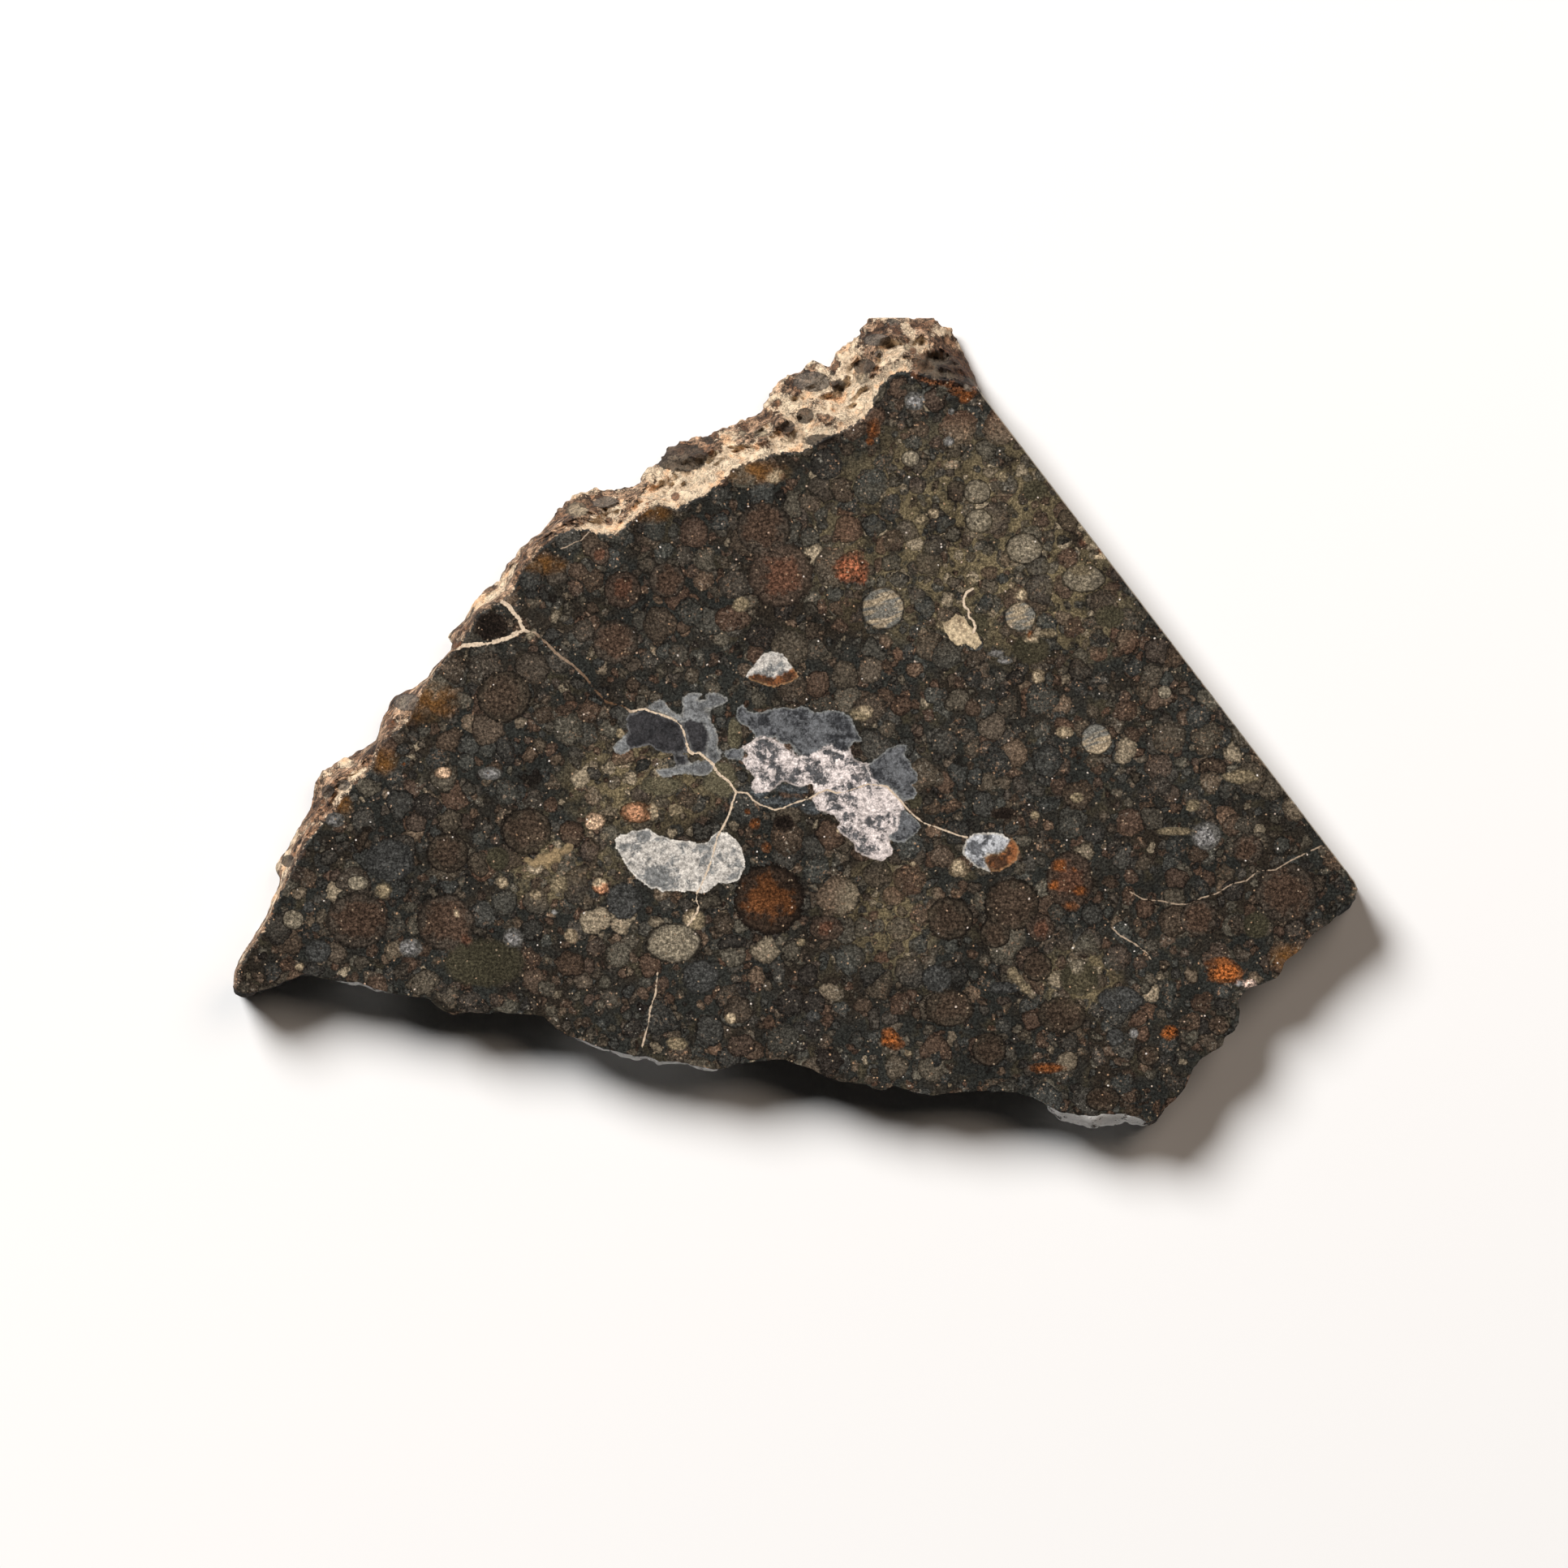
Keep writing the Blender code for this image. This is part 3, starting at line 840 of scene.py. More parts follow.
def over_wall(values):
    """Values for the wall's grid, given to all points: those inside the faces get 0."""
    full = np.zeros(len(vertices))
    full[:wall[..., 0].size] = np.broadcast_to(values, wall.shape[:2]).ravel()
    return full


flat_places = vertices[:, :2]
depth = high[2] - vertices[:, 2]
wall_row = over_wall(row_share)
wall_crust = over_wall(crust_share)
print("a light grey of 200 sends back", light_of((200, 200, 200)).round(2), "of the light")

# %% [markdown]
# ### Where the cracks are
#
# Each point stores its distance from the crack, the crack's half width there and its
# tone. The distance has a sign for the side, so it passes evenly through zero on the
# line, and the finish can draw a line much thinner than the mesh's triangles.

# %% Distance to the cracks
NO_CRACK = -1.0
CRACK_REACH = 2.0 * DETAIL_REACH


def crack_field(line, widths, tones):
    """Distance to a crack, then the signed distance, the half width and the tone, in
    millimetres; far from the crack the half width is negative, so nothing is drawn."""
    path = on_stone(line)
    distance, side, along, past = follow(flat_places, path)
    half = np.interp(along / PIXEL, *zip(*widths)) * PIXEL / 2.0
    half = np.where(distance < CRACK_REACH, half - past, NO_CRACK * MILLIMETRE)
    tone = np.interp(along / PIXEL, *zip(*tones))
    return distance, side / MILLIMETRE, half / MILLIMETRE, tone


_, side, half, tone = crack_field(LONG_CRACK, LONG_CRACK_WIDTH, LONG_CRACK_TONE)
put("long_crack", (side, half, tone))
best = np.full(len(vertices), np.inf)
chosen = np.tile([0.0, NO_CRACK, 0.0], (len(vertices), 1))
for line, size, filling in SIDE_CRACKS:
    distance, side, half, tone = crack_field(line, [(0, size)], [(0, filling)])
    nearer = distance < best
    best = np.where(nearer, distance, best)
    chosen[nearer] = np.stack([side, half, tone], axis=1)[nearer]
put("side_crack", chosen.T)
print(int((best < CRACK_REACH).sum()), "points beside the side cracks")

# %% [markdown]
# ### Where the inclusions are
#
# Nine kinds of patch cover what the photograph shows. A point stores how deep inside
# the nearest patch it lies, less a share of its depth in the stone, so the patches
# shrink on the way down. Neighbouring patches are joined softly, by a logarithm of
# summed exponentials, so that no dark seam runs between them.

# %% Colours of the inclusions
# Each kind: main colour, smudges, outer edge, share of smudges, outlines
INCLUSIONS = [
    ((228, 216, 212), (88, 88, 90), (196, 184, 178), 0.50, PINK_WHITE_OUTLINES),
    ((208, 202, 194), (128, 129, 128), (228, 222, 212), 0.50, CREAM_GREY_OUTLINES),
    ((106, 108, 111), (58, 59, 62), (140, 142, 140), 0.49, MID_BLUE_OUTLINES),
    ((128, 130, 131), (98, 99, 100), (150, 149, 144), 0.46, LIGHT_BLUE_OUTLINES),
    ((60, 59, 61), (48, 48, 50), (112, 112, 112), 0.50, DARK_BLUE_OUTLINES),
    ((192, 194, 198), (104, 106, 110), (214, 206, 192), 0.47, BLUE_WHITE_OUTLINES),
    ((146, 94, 60), (78, 56, 42), (158, 124, 90), 0.51, RUSTY_OUTLINES),
    ((206, 186, 154), (158, 138, 112), (176, 158, 128), 0.45, CREAM_OUTLINES),
    ((162, 140, 106), (134, 116, 88), (112, 98, 76), 0.45, TAN_OUTLINES),
]
print(sum(len(look[4]) for look in INCLUSIONS), "patches of", len(INCLUSIONS), "kinds")

# %% Depth inside the inclusions
PATCH_FAR = -0.4
PATCH_MARGIN = 0.0006
PATCH_DEPTH = 0.5 * THICKNESS
PATCH_TAPER = 0.4
UNION_SOFTNESS = 0.12
PINK_KIND = 0
BLUE_KIND = 2
PINK_BLEND = 0.5

union_sum = np.full(len(vertices), np.exp(PATCH_FAR / UNION_SOFTNESS))
kind_edges = np.full((len(INCLUSIONS), len(vertices)), PATCH_FAR * 2.0)
for kind_edge, look in zip(kind_edges, INCLUSIONS):
    for outline in look[4]:
        path = on_stone(outline)
        closed = np.concatenate([path, path[:1]])
        box_low, box_high = box_round(path, PATCH_MARGIN)
        near_box = np.all((flat_places > box_low) & (flat_places < box_high), axis=1)
        near_box = np.flatnonzero(near_box & (depth < PATCH_DEPTH))
        within = inside(flat_places[near_box], path)
        edge = follow(flat_places[near_box], closed)[0] / MILLIMETRE
        edge = np.where(within, edge, -edge) - depth[near_box] / MILLIMETRE * PATCH_TAPER
        union_sum[near_box] += np.exp(edge / UNION_SOFTNESS)
        kind_edge[near_box] = np.maximum(kind_edge[near_box], edge)
patch_edge = UNION_SOFTNESS * np.log(union_sum)
owner = kind_edges.argmax(axis=0)
pinker = kind_edges[PINK_KIND] - kind_edges[BLUE_KIND]
pinkness = np.clip(0.5 + pinker / PINK_BLEND, 0.0, 1.0)
pinkness = np.select([owner == PINK_KIND, owner == BLUE_KIND],
                     [np.maximum(pinkness, 0.5), np.minimum(pinkness, 0.5)], 0.0)
for index, name in enumerate(("patch_main", "patch_dark", "patch_border")):
    put(name, np.array([light_of(look[index]) for look in INCLUSIONS])[owner].T)
shares = np.array([look[3] for look in INCLUSIONS])[owner]
put("patch", (patch_edge, shares, pinkness))
print("points inside inclusions:", int((patch_edge > 0).sum()))

# %% [markdown]
# ### Where the named grains are
#
# Most grains can be left to chance, but the ones that catch the eye belong where the
# photograph shows them. Each look below names a body colour, a core colour, how much
# of the grain the core takes, how speckled it is and how dark its rim is; under it come
# the grains, as column, row, half width and half height.

# %% List of the named grains
GRAINS = {
    "red core": ((74, 62, 53), (94, 67, 53), 0.50, 0.9, 0.8, [
        (962, 708, 42, 42), (767, 727, 24, 24), (739, 683, 13, 13),
        (575, 1158, 9, 9), (1334, 669, 8, 8), (1318, 1085, 30, 38), (1282, 1143, 18, 18),
        (1018, 1144, 23, 16)]),
    "brown core": ((72, 64, 56), (80, 64, 53), 0.70, 1.0, 0.8, [
        (440, 1134, 40, 36), (549, 1137, 37, 37), (822, 715, 23, 23), (941, 651, 35, 35),
        (758, 791, 30, 28), (1477, 1131, 24, 24), (1585, 1100, 40, 38), (1538, 1046, 20, 20)]),
    "orange core": ((54, 43, 35), (98, 62, 37), 0.60, 0.8, 0.9, [(948, 1108, 45, 45)]),
    "orange block": ((98, 64, 48), (146, 88, 62), 0.62, 1.6, 0.0, [(1049, 699, 24, 25)]),
    "rust": ((88, 60, 42), (122, 74, 42), 0.55, 1.1, 0.0, [
        (1076, 527, 10, 14), (1072, 544, 6, 6), (1308, 1068, 15, 12), (1302, 1090, 9, 12),
        (1328, 1096, 16, 12), (1320, 1116, 12, 7), (1324, 1072, 8, 8), (1505, 1186, 24, 8),
        (1094, 1273, 10, 8), (1104, 1286, 14, 9), (1288, 1316, 26, 8), (930, 1015, 8, 8),
        (921, 1000, 5, 5), (944, 1044, 8, 8), (906, 1071, 12, 9), (1186, 484, 22, 5),
        (1187, 493, 7, 6), (1191, 487, 10, 9), (1269, 782, 4, 8), (1095, 398, 4, 4),
        (1129, 398, 9, 5), (1107, 408, 10, 5), (1125, 432, 5, 5), (958, 495, 7, 6),
        (1030, 527, 5, 4), (750, 642, 6, 6), (562, 795, 9, 7), (482, 893, 9, 8),
        (497, 942, 4, 4), (832, 612, 6, 6), (1356, 676, 4, 6)]),
    "cream": ((122, 108, 88), (184, 166, 138), 0.60, 1.0, 0.0, [
        (1310, 902, 12, 9), (1150, 632, 8, 7), (1259, 733, 8, 8), (1246, 721, 5, 5),
        (1279, 833, 10, 10), (957, 582, 10, 8), (739, 1089, 10, 8), (704, 1153, 11, 11),
        (562, 1125, 7, 7), (804, 1000, 7, 12), (619, 1088, 8, 8),
        (660, 1102, 8, 8), (369, 1191, 7, 6), (900, 1255, 8, 7), (1035, 1023, 5, 5),
        (1119, 1298, 6, 5), (711, 627, 14, 10), (1063, 466, 9, 8), (1118, 427, 6, 4),
        (937, 533, 10, 6), (915, 533, 6, 5), (1064, 876, 13, 8), (953, 588, 11, 9),
        (1356, 686, 12, 4), (1170, 1337, 4, 4), (1125, 1065, 5, 4), (1182, 1070, 15, 13),
        (1270, 788, 14, 5), (852, 1131, 12, 12)]),
    "tan": ((104, 94, 76), (138, 124, 100), 0.70, 0.9, 0.0, [
        (1334, 707, 22, 12), (1196, 716, 9, 8), (1247, 1200, 8, 10), (1255, 1208, 7, 9),
        (1264, 1218, 7, 9), (1448, 1024, 27, 6), (1471, 992, 11, 9),
        (1275, 1005, 7, 7), (1529, 957, 23, 10), (835, 1285, 14, 9),
        (833, 998, 10, 9), (987, 1161, 7, 6), (689, 1090, 14, 13), (858, 1134, 14, 13),
        (914, 745, 12, 10), (473, 1098, 12, 12), (1160, 770, 8, 6), (1290, 780, 12, 7),
        (1340, 664, 9, 8), (1136, 640, 10, 8), (1060, 880, 16, 10), (1236, 588, 9, 7),
        (764, 903, 6, 7), (1327, 983, 9, 7)]),
    "striped": ((126, 120, 104), (140, 130, 112), 0.70, 0.7, 1.0, [
        (1088, 750, 28, 28), (1351, 911, 20, 20), (1257, 760, 21, 19)]),
    "pale": ((112, 104, 90), (138, 128, 110), 0.70, 0.9, 1.0, [
        (830, 1162, 36, 26), (1435, 853, 9, 9), (1328, 1196, 15, 15), (441, 1088, 14, 10),
        (361, 1133, 14, 13), (1206, 642, 18, 16), (1262, 676, 24, 20), (1335, 713, 28, 18),
        (1122, 565, 12, 11), (1204, 606, 17, 16)]),
    "pale blue": ((94, 92, 88), (134, 132, 130), 0.60, 1.0, 0.3, [
        (1127, 494, 14, 13), (1172, 507, 5, 5), (1169, 544, 8, 7), (1227, 805, 12, 5),
        (1238, 814, 11, 5), (632, 1156, 14, 14), (683, 1124, 5, 4), (506, 1168, 16, 13),
        (413, 1010, 13, 10), (1486, 1030, 20, 19), (1397, 1273, 7, 7),
        (1526, 1212, 6, 5), (604, 953, 16, 9)]),
    "blue grey": ((62, 62, 60), (70, 70, 68), 0.70, 0.9, 0.7, [
        (863, 1204, 24, 22), (1154, 1206, 20, 18), (1237, 1217, 22, 8), (380, 1118, 8, 8),
        (389, 1143, 6, 6), (1002, 1252, 9, 8), (480, 1060, 33, 28), (769, 1110, 24, 24),
        (1201, 794, 12, 9), (392, 1172, 17, 15), (1380, 1232, 30, 18), (1374, 1278, 12, 12)]),
    "brown": ((66, 58, 49), (72, 60, 50), 0.70, 1.0, 0.9, [
        (621, 858, 35, 33), (649, 1024, 32, 30), (1169, 1242, 32, 24), (1308, 1251, 31, 24),
        (1247, 1115, 36, 34), (1226, 1150, 20, 19), (1170, 1132, 29, 28), (1219, 1293, 22, 22),
        (1359, 1354, 22, 16), (552, 1051, 27, 26), (1278, 1191, 19, 19),
        (1502, 1263, 14, 13), (1415, 1301, 14, 13), (839, 563, 34, 18), (992, 512, 11, 10),
        (971, 525, 9, 8), (354, 1061, 9, 8), (403, 975, 9, 8), (1065, 451, 14, 10)]),
    "khaki": ((66, 62, 49), (69, 65, 51), 0.70, 0.3, 0.2, [
        (597, 1187, 55, 32), (1330, 1205, 27, 24), (1548, 1140, 18, 18),
        (1275, 604, 18, 14), (1367, 760, 20, 16), (613, 1058, 16, 16), (1127, 987, 10, 11),
        (1270, 800, 26, 20), (1205, 770, 14, 16)]),
    "dark": ((46, 38, 32), (34, 28, 24), 0.70, 0.6, 0.0, [
        (605, 771, 26, 20), (1237, 1002, 22, 8), (1156, 450, 20, 9), (968, 1015, 13, 12),
        (1056, 927, 9, 6), (1013, 542, 28, 8), (873, 542, 7, 7), (1034, 474, 10, 9),
        (1163, 1237, 12, 4), (963, 1014, 12, 10)]),
    "smooth khaki": ((92, 87, 70), (98, 92, 74), 0.70, 0.4, 0.0, [
        (888, 960, 22, 24), (815, 968, 30, 12), (905, 905, 9, 22)]),
    "orange": ((112, 78, 56), (184, 134, 102), 0.62, 1.2, 0.9, [
        (784, 1001, 21, 14), (740, 1093, 11, 9)]),
    "peach": ((130, 108, 88), (208, 176, 146), 0.70, 1.2, 0.7, [
        (733, 1012, 14, 12), (546, 952, 12, 8)]),
    "bright rust": ((104, 66, 40), (156, 90, 46), 0.60, 1.6, 0.0, [
        (1511, 1199, 28, 15), (1441, 1273, 13, 11), (1099, 1282, 16, 12), (1300, 1092, 9, 8)]),
    "white crystal": ((206, 178, 162), (244, 230, 220), 0.70, 1.6, 0.0, [(1541, 1213, 9, 8)]),
    "dark grey": ((66, 68, 68), (78, 82, 84), 0.70, 0.8, 0.0, [
        (975, 972, 24, 8), (963, 988, 36, 8), (1000, 996, 14, 10), (935, 975, 14, 10)]),
    "pit": ((100, 64, 42), (38, 26, 20), 0.66, 1.9, 0.3, [
        (1160, 452, 42, 26), (1186, 470, 24, 14)]),
    "grey rock": ((116, 106, 96), (124, 114, 102), 0.60, 0.8, 0.8, [
        (1099, 397, 12, 6), (1081, 418, 18, 8), (1000, 469, 25, 13), (501, 865, 18, 11),
        (745, 618, 18, 8), (1191, 476, 8, 6), (1083, 436, 6, 5), (423, 967, 9, 7)]),
}
print(sum(len(look[5]) for look in GRAINS.values()), "named grains")

# %% [markdown]
# A grain is an egg round its place: the distance from its middle is measured in its own
# radii, so 1 is its edge. Depth counts too, so grains end inside the slice. Where two
# overlap, each point goes to the one whose middle is nearer.

# %% Distance inside the named grains
GRAIN_REACH = 1.35
NO_GRAIN = 2.0

nearest = np.full(len(vertices), NO_GRAIN)
body_colour = np.zeros((len(vertices), 3))
core_colour = np.zeros((len(vertices), 3))
core_share = np.full(len(vertices), 0.5)
speckle = np.zeros(len(vertices))
outlined = np.zeros(len(vertices))
sunken = np.where(wall_crust > 0.5, 0.0, depth)
striped = np.zeros(len(vertices))
for look, (body, core, share, speckled, edged, places_of) in GRAINS.items():
    for column, row, half_width, half_height in places_of:
        middle = on_stone([(column, row)])[0]
        radii = np.array([half_width, half_height]) * PIXEL
        step = (flat_places - middle) / radii
        far = np.sqrt((step ** 2).sum(axis=1) + (sunken / radii.mean()) ** 2)
        nearer = far < np.minimum(nearest, GRAIN_REACH)
        nearest = np.where(nearer, far, nearest)
        body_colour[nearer] = light_of(body)
        core_colour[nearer] = light_of(core)
        core_share = np.where(nearer, share, core_share)
        speckle = np.where(nearer, speckled, speckle)
        outlined = np.where(nearer, edged, outlined)
        striped = np.where(nearer, float(look == "striped"), striped)
put("grain_body", body_colour.T)
put("grain_core", core_colour.T)
put("grain_form", (nearest, core_share, speckle))
put("grain_rim", (outlined, striped))
print(int((nearest < 1.0).sum()), "points inside named grains")

# %% [markdown]
# ### Stains, pale ledges with painted bounce light, and crust
#
# Stains are soft ovals. The crust's attribute says how surely a point is crust, how
# deep in a hollow it lies, and how much caliche its part of the slope has gathered. A
# little crust laps over the rim of the face, since the edge isn't cut clean there.

# %% Stains and ledges
# Column, row, half width and half height of each stain
RUST_STAINS = [(533, 865, 26, 20), (472, 938, 14, 14), (423, 991, 10, 10), (505, 880, 16, 12),
               (670, 695, 24, 10), (800, 632, 22, 10), (930, 582, 34, 12), (1590, 1180, 20, 14)]
KHAKI_STAINS = [(1195, 660, 170, 110), (790, 965, 80, 50), (1095, 1130, 50, 60),
                (1290, 740, 90, 70), (1330, 1205, 40, 36), (690, 1070, 60, 40)]
PALE_REACH = 6.0 * PIXEL


def stain(blobs):
    """Soft patches: one minus the squared distance from the nearest blob's centre."""
    strength = np.zeros(len(vertices))
    for column, row, half_width, half_height in blobs:
        middle = on_stone([(column, row)])[0]
        step = (flat_places - middle) / (np.array([half_width, half_height]) * PIXEL)
        strength = np.maximum(strength, 1.0 - (step ** 2).sum(axis=1) / 2.0)
    return np.clip(strength, 0.0, 1.0)


between_rows = (wall_row > 0) * (wall_row < 1)
# Where the pale ledges stand out; their bright colour is partly painted bounce light
pale = over_wall(smoothed(np.clip(ledge / PALE_REACH, 0.0, 1.0), 5))
put("stain", (stain(RUST_STAINS), stain(KHAKI_STAINS), pale * between_rows))
print(len(RUST_STAINS), "rust stains and", len(KHAKI_STAINS), "khaki stains")

# %% [markdown]
# Where the slope is wide, caliche fills its upper part and leaves bare rock low down,
# and where it is narrow the rock is almost bare. A point also stores whether it lies
# on a break, on the saw cut or underneath, where the stone isn't polished.

# %% Crust and sides
CRUST_LAP = 9.0 * PIXEL
LAP_SHARE = 0.62
LAP_DEPTH = 0.1 * THICKNESS
FILL_WIDTH = 46.0 * PIXEL
NARROW = 0.35 * FILL_WIDTH
BARE_BIAS = -0.30
FULL_BIAS = 0.50

lapped = np.zeros(len(vertices))
for path in (crust_rim_line, chip_rim_line):
    from_rim = follow(flat_places, path)[0]
    lapped = np.maximum(lapped, LAP_SHARE * np.clip(1.0 - from_rim / CRUST_LAP, 0.0, 1.0))
crust_on = np.where(wall_row > 0, wall_crust, np.where(depth < LAP_DEPTH, lapped, 0.0))
filled = np.clip((smoothed(width, 6) - NARROW) / FILL_WIDTH, 0.0, 1.0)
fill_bias = over_wall(BARE_BIAS + filled[None] * (FULL_BIAS - BARE_BIAS - row_share))
put("skin", (crust_on, over_wall(hollow), fill_bias))
saw_share = smoothed((kinds == "saw").astype(float), 2)
underneath = np.zeros(len(vertices))
underneath[len(vertices) - len(under_points):] = 1.0
put("sides", (over_wall(break_share) * (wall_row > 0), over_wall(saw_share) * (wall_row > 0),
              underneath))
print(int((crust_on > 0.5).sum()), "points in the crust")

# %% [markdown]
# ## The stone's finish
#
# A chondrite is a fine dark matrix packed with round grains of many sizes. Cell noise
# gives that directly: every place belongs to the nearest of many scattered seeds, and
# a ball round the seed, smaller or larger by chance, becomes a grain with its own
# colour, speckle and dark rim. The noise is solid, so it carries on through the sides
# of the slice. A node material is a tree of small sums, so we first write a class that
# lets us build one with plain calls. Sizes in it are in millimetres.

# %% Helpers for node materials
class Finish:
    """A node material that is built by plain calls."""

    def __init__(self, name):
        """A new material with a plain shader."""
        self.material = bpy.data.materials.new(name)
        self.material.use_nodes = True
        self.tree = self.material.node_tree
        self.shader = self.tree.nodes["Principled BSDF"]

    def join(self, value, socket):
        """Link a socket, or set a plain number or colour."""
        if isinstance(value, bpy.types.NodeSocket):
            self.tree.links.new(value, socket)
        elif socket.type == "RGBA" and len(value) == 3:
            socket.default_value = (*value, 1.0)
        else:
            socket.default_value = value

    def math(self, operation, first, second=0.0, third=0.0):
        """A sum, a product or the like of up to three numbers."""
        node = self.tree.nodes.new("ShaderNodeMath")
        node.operation = operation
        for value, socket in zip((first, second, third), node.inputs):
            self.join(value, socket)
        return node.outputs[0]

    def times(self, first, second):
        """Product of two numbers."""
        return self.math("MULTIPLY", first, second)

    def minus(self, first, second):
        """The first number less the second."""
        return self.math("SUBTRACT", first, second)

    def times_plus(self, first, factor, rest):
        """The first number times a factor, plus the rest."""
        return self.math("MULTIPLY_ADD", first, factor, rest)

    def vector_math(self, operation, first, second=(0.0, 0.0, 0.0), scale=1.0):
        """A sum or the like of two places, or one place times a scale."""
        node = self.tree.nodes.new("ShaderNodeVectorMath")
        node.operation = operation
        self.join(first, node.inputs[0])
        self.join(second, node.inputs[1])
        self.join(scale, node.inputs[3])
        return node.outputs[0]

    def between(self, value, start, end, low_value=0.0, high_value=1.0):
        """Smooth step from one value to another as the input goes from start to end."""
        node = self.tree.nodes.new("ShaderNodeMapRange")
        node.interpolation_type = "SMOOTHSTEP"
        inputs = (value, start, end, low_value, high_value)
        for item, socket in zip(inputs, node.inputs):
            self.join(item, socket)
        return node.outputs[0]

    def mix(self, share, first, second, way="MIX"):
        """Blend two colours: a share of 0 gives the first and 1 the second."""
        node = self.tree.nodes.new("ShaderNodeMix")
        node.data_type = "RGBA"
        node.blend_type = way
        self.join(share, node.inputs[0])
        self.join(first, node.inputs[6])
        self.join(second, node.inputs[7])
        return node.outputs[2]

    def lit(self, colour, light):
        """Colour times a number, to make it lighter or darker."""
        return self.mix(1.0, colour, light, "MULTIPLY")

    def texture(self, kind, place, size):
        """Node of a solid texture with parts about a size across."""
        node = self.tree.nodes.new(kind)
        self.join(place, node.inputs["Vector"])
        node.inputs["Scale"].default_value = 1.0 / size
        return node

    def noise(self, place, size, detail=2.0, roughness=0.5):
        """Smooth noise from 0 to 1, with finer layers by detail and roughness."""
        node = self.texture("ShaderNodeTexNoise", place, size)
        node.inputs["Detail"].default_value = detail
        node.inputs["Roughness"].default_value = roughness
        return node.outputs["Fac"]

    def wander(self, place, size, detail, roughness):
        """The same noise, but from minus a half to a half."""
        return self.minus(self.noise(place, size, detail, roughness), 0.5)

    def tint(self, place, size):
        """Noise in three channels at once."""
        return self.texture("ShaderNodeTexNoise", place, size).outputs["Color"]

    def cells(self, place, size):
        """Scattered seeds about a size apart: distance in sizes, and three random numbers."""
        node = self.texture("ShaderNodeTexVoronoi", place, size)
        split = self.tree.nodes.new("ShaderNodeSeparateColor")
        self.tree.links.new(node.outputs["Color"], split.inputs[0])
        return node.outputs["Distance"], split.outputs[0], split.outputs[1], split.outputs[2]

    def to_border(self, place, size):
        """Distance, in sizes, to the border of the cell round the nearest seed."""
        node = self.texture("ShaderNodeTexVoronoi", place, size)
        node.feature = "DISTANCE_TO_EDGE"
        return node.outputs["Distance"]

    def ramp(self, value, stops):
        """Colour from a scale of stops, each a position and a colour."""
        node = self.tree.nodes.new("ShaderNodeValToRGB")
        self.join(value, node.inputs[0])
        scale = node.color_ramp.elements
        while len(scale) < len(stops):
            scale.new(0.5)
        for element, (position, colour) in zip(scale, stops):
            element.position = position
            element.color = (*colour, 1.0)
        return node.outputs[0]

    def stored(self, name):
        """The three numbers of an attribute."""
        node = self.tree.nodes.new("ShaderNodeAttribute")
        node.attribute_name = name
        split = self.tree.nodes.new("ShaderNodeSeparateXYZ")
        self.tree.links.new(node.outputs["Vector"], split.inputs[0])
        return split.outputs[0], split.outputs[1], split.outputs[2]

    def stored_colour(self, name):
        """The colour kept in an attribute."""
        node = self.tree.nodes.new("ShaderNodeAttribute")
        node.attribute_name = name
        return node.outputs["Color"]


finish = Finish("stone")
print("new material:", finish.material.name)

# %% [markdown]
# ### Places for the textures
#
# Every texture reads the place on the stone itself, in millimetres, so nothing slides
# when the slice is turned. Pushing the place about with noise before it is used bends
# the balls of the cell noise into the uneven grains of a real stone. Drawing each small
# grain as a mesh is another way, but there are thousands of them.

# %% Straight, bent and crumpled places
BEND = (0.7, 0.5, 0.0)
CRUMPLE = (0.16, 0.10, 5.0)

coordinates = finish.tree.nodes.new("ShaderNodeTexCoord")
place = finish.vector_math("SCALE", coordinates.outputs["Object"], scale=1.0 / MILLIMETRE)


def moved(shift):
    """The place moved by a fixed step, so that the same noise falls differently."""
    return finish.vector_math("ADD", place, shift)


def bent(size, amount, seed):
    """The place, pushed about by noise of a size, by up to half an amount each way."""
    push = finish.vector_math("SUBTRACT", finish.tint(moved((seed, seed, seed)), size),
                              (0.5, 0.5, 0.5))
    return finish.vector_math("ADD", finish.vector_math("SCALE", push, scale=amount), place)


place_bent = bent(*BEND)
place_crumpled = bent(*CRUMPLE)
ragged = finish.wander(place, 0.24, 4.0, 0.7)
print(len(finish.tree.nodes), "nodes so far")

# %% [markdown]
# ### The ground
#
# Between the grains lies the matrix, dust finer than the eye can part. It isn't one
# grey: it drifts from blue grey to brown and olive over a few millimetres, with khaki
# clouds where the drawn stains lie. Wide soft noise picks between flat colours here.

# %% Ground between the grains
GROUND_BLUE = light_of((48, 49, 46))
GROUND_BROWN = light_of((50, 44, 37))
GROUND_OLIVE = light_of((66, 61, 49))
GROUND_KHAKI = light_of((124, 111, 84))

wide_noise = finish.noise(place, 3.2, 3.0, 0.6)
mid_noise = finish.noise(moved((9.0, 3.0, 0.0)), 1.4, 3.0, 0.6)
khaki_noise = finish.noise(place_bent, 0.7, 4.0, 0.65)
rust, khaki, pale_ledge_and_bounce = finish.stored("stain")
colour = finish.mix(finish.between(wide_noise, 0.44, 0.64), GROUND_BLUE, GROUND_BROWN)
colour = finish.mix(finish.between(mid_noise, 0.54, 0.68), colour, GROUND_OLIVE)
khaki_ground = finish.times(khaki, finish.between(khaki_noise, 0.34, 0.56))
colour = finish.mix(khaki_ground, colour, GROUND_KHAKI)
print(len(finish.tree.nodes), "nodes so far")

# %% [markdown]
# ### Grains by chance
#
# Four layers of cell noise run from half a millimetre to two. In each, the gap inside
# a grain's edge decides everything: below zero we see the ground, just above zero the
# dark crease round the grain, and further in its body, a little brighter to the middle.
# The gap also stops at the border of the seed's cell, so that grains that touch keep
# their full outlines.

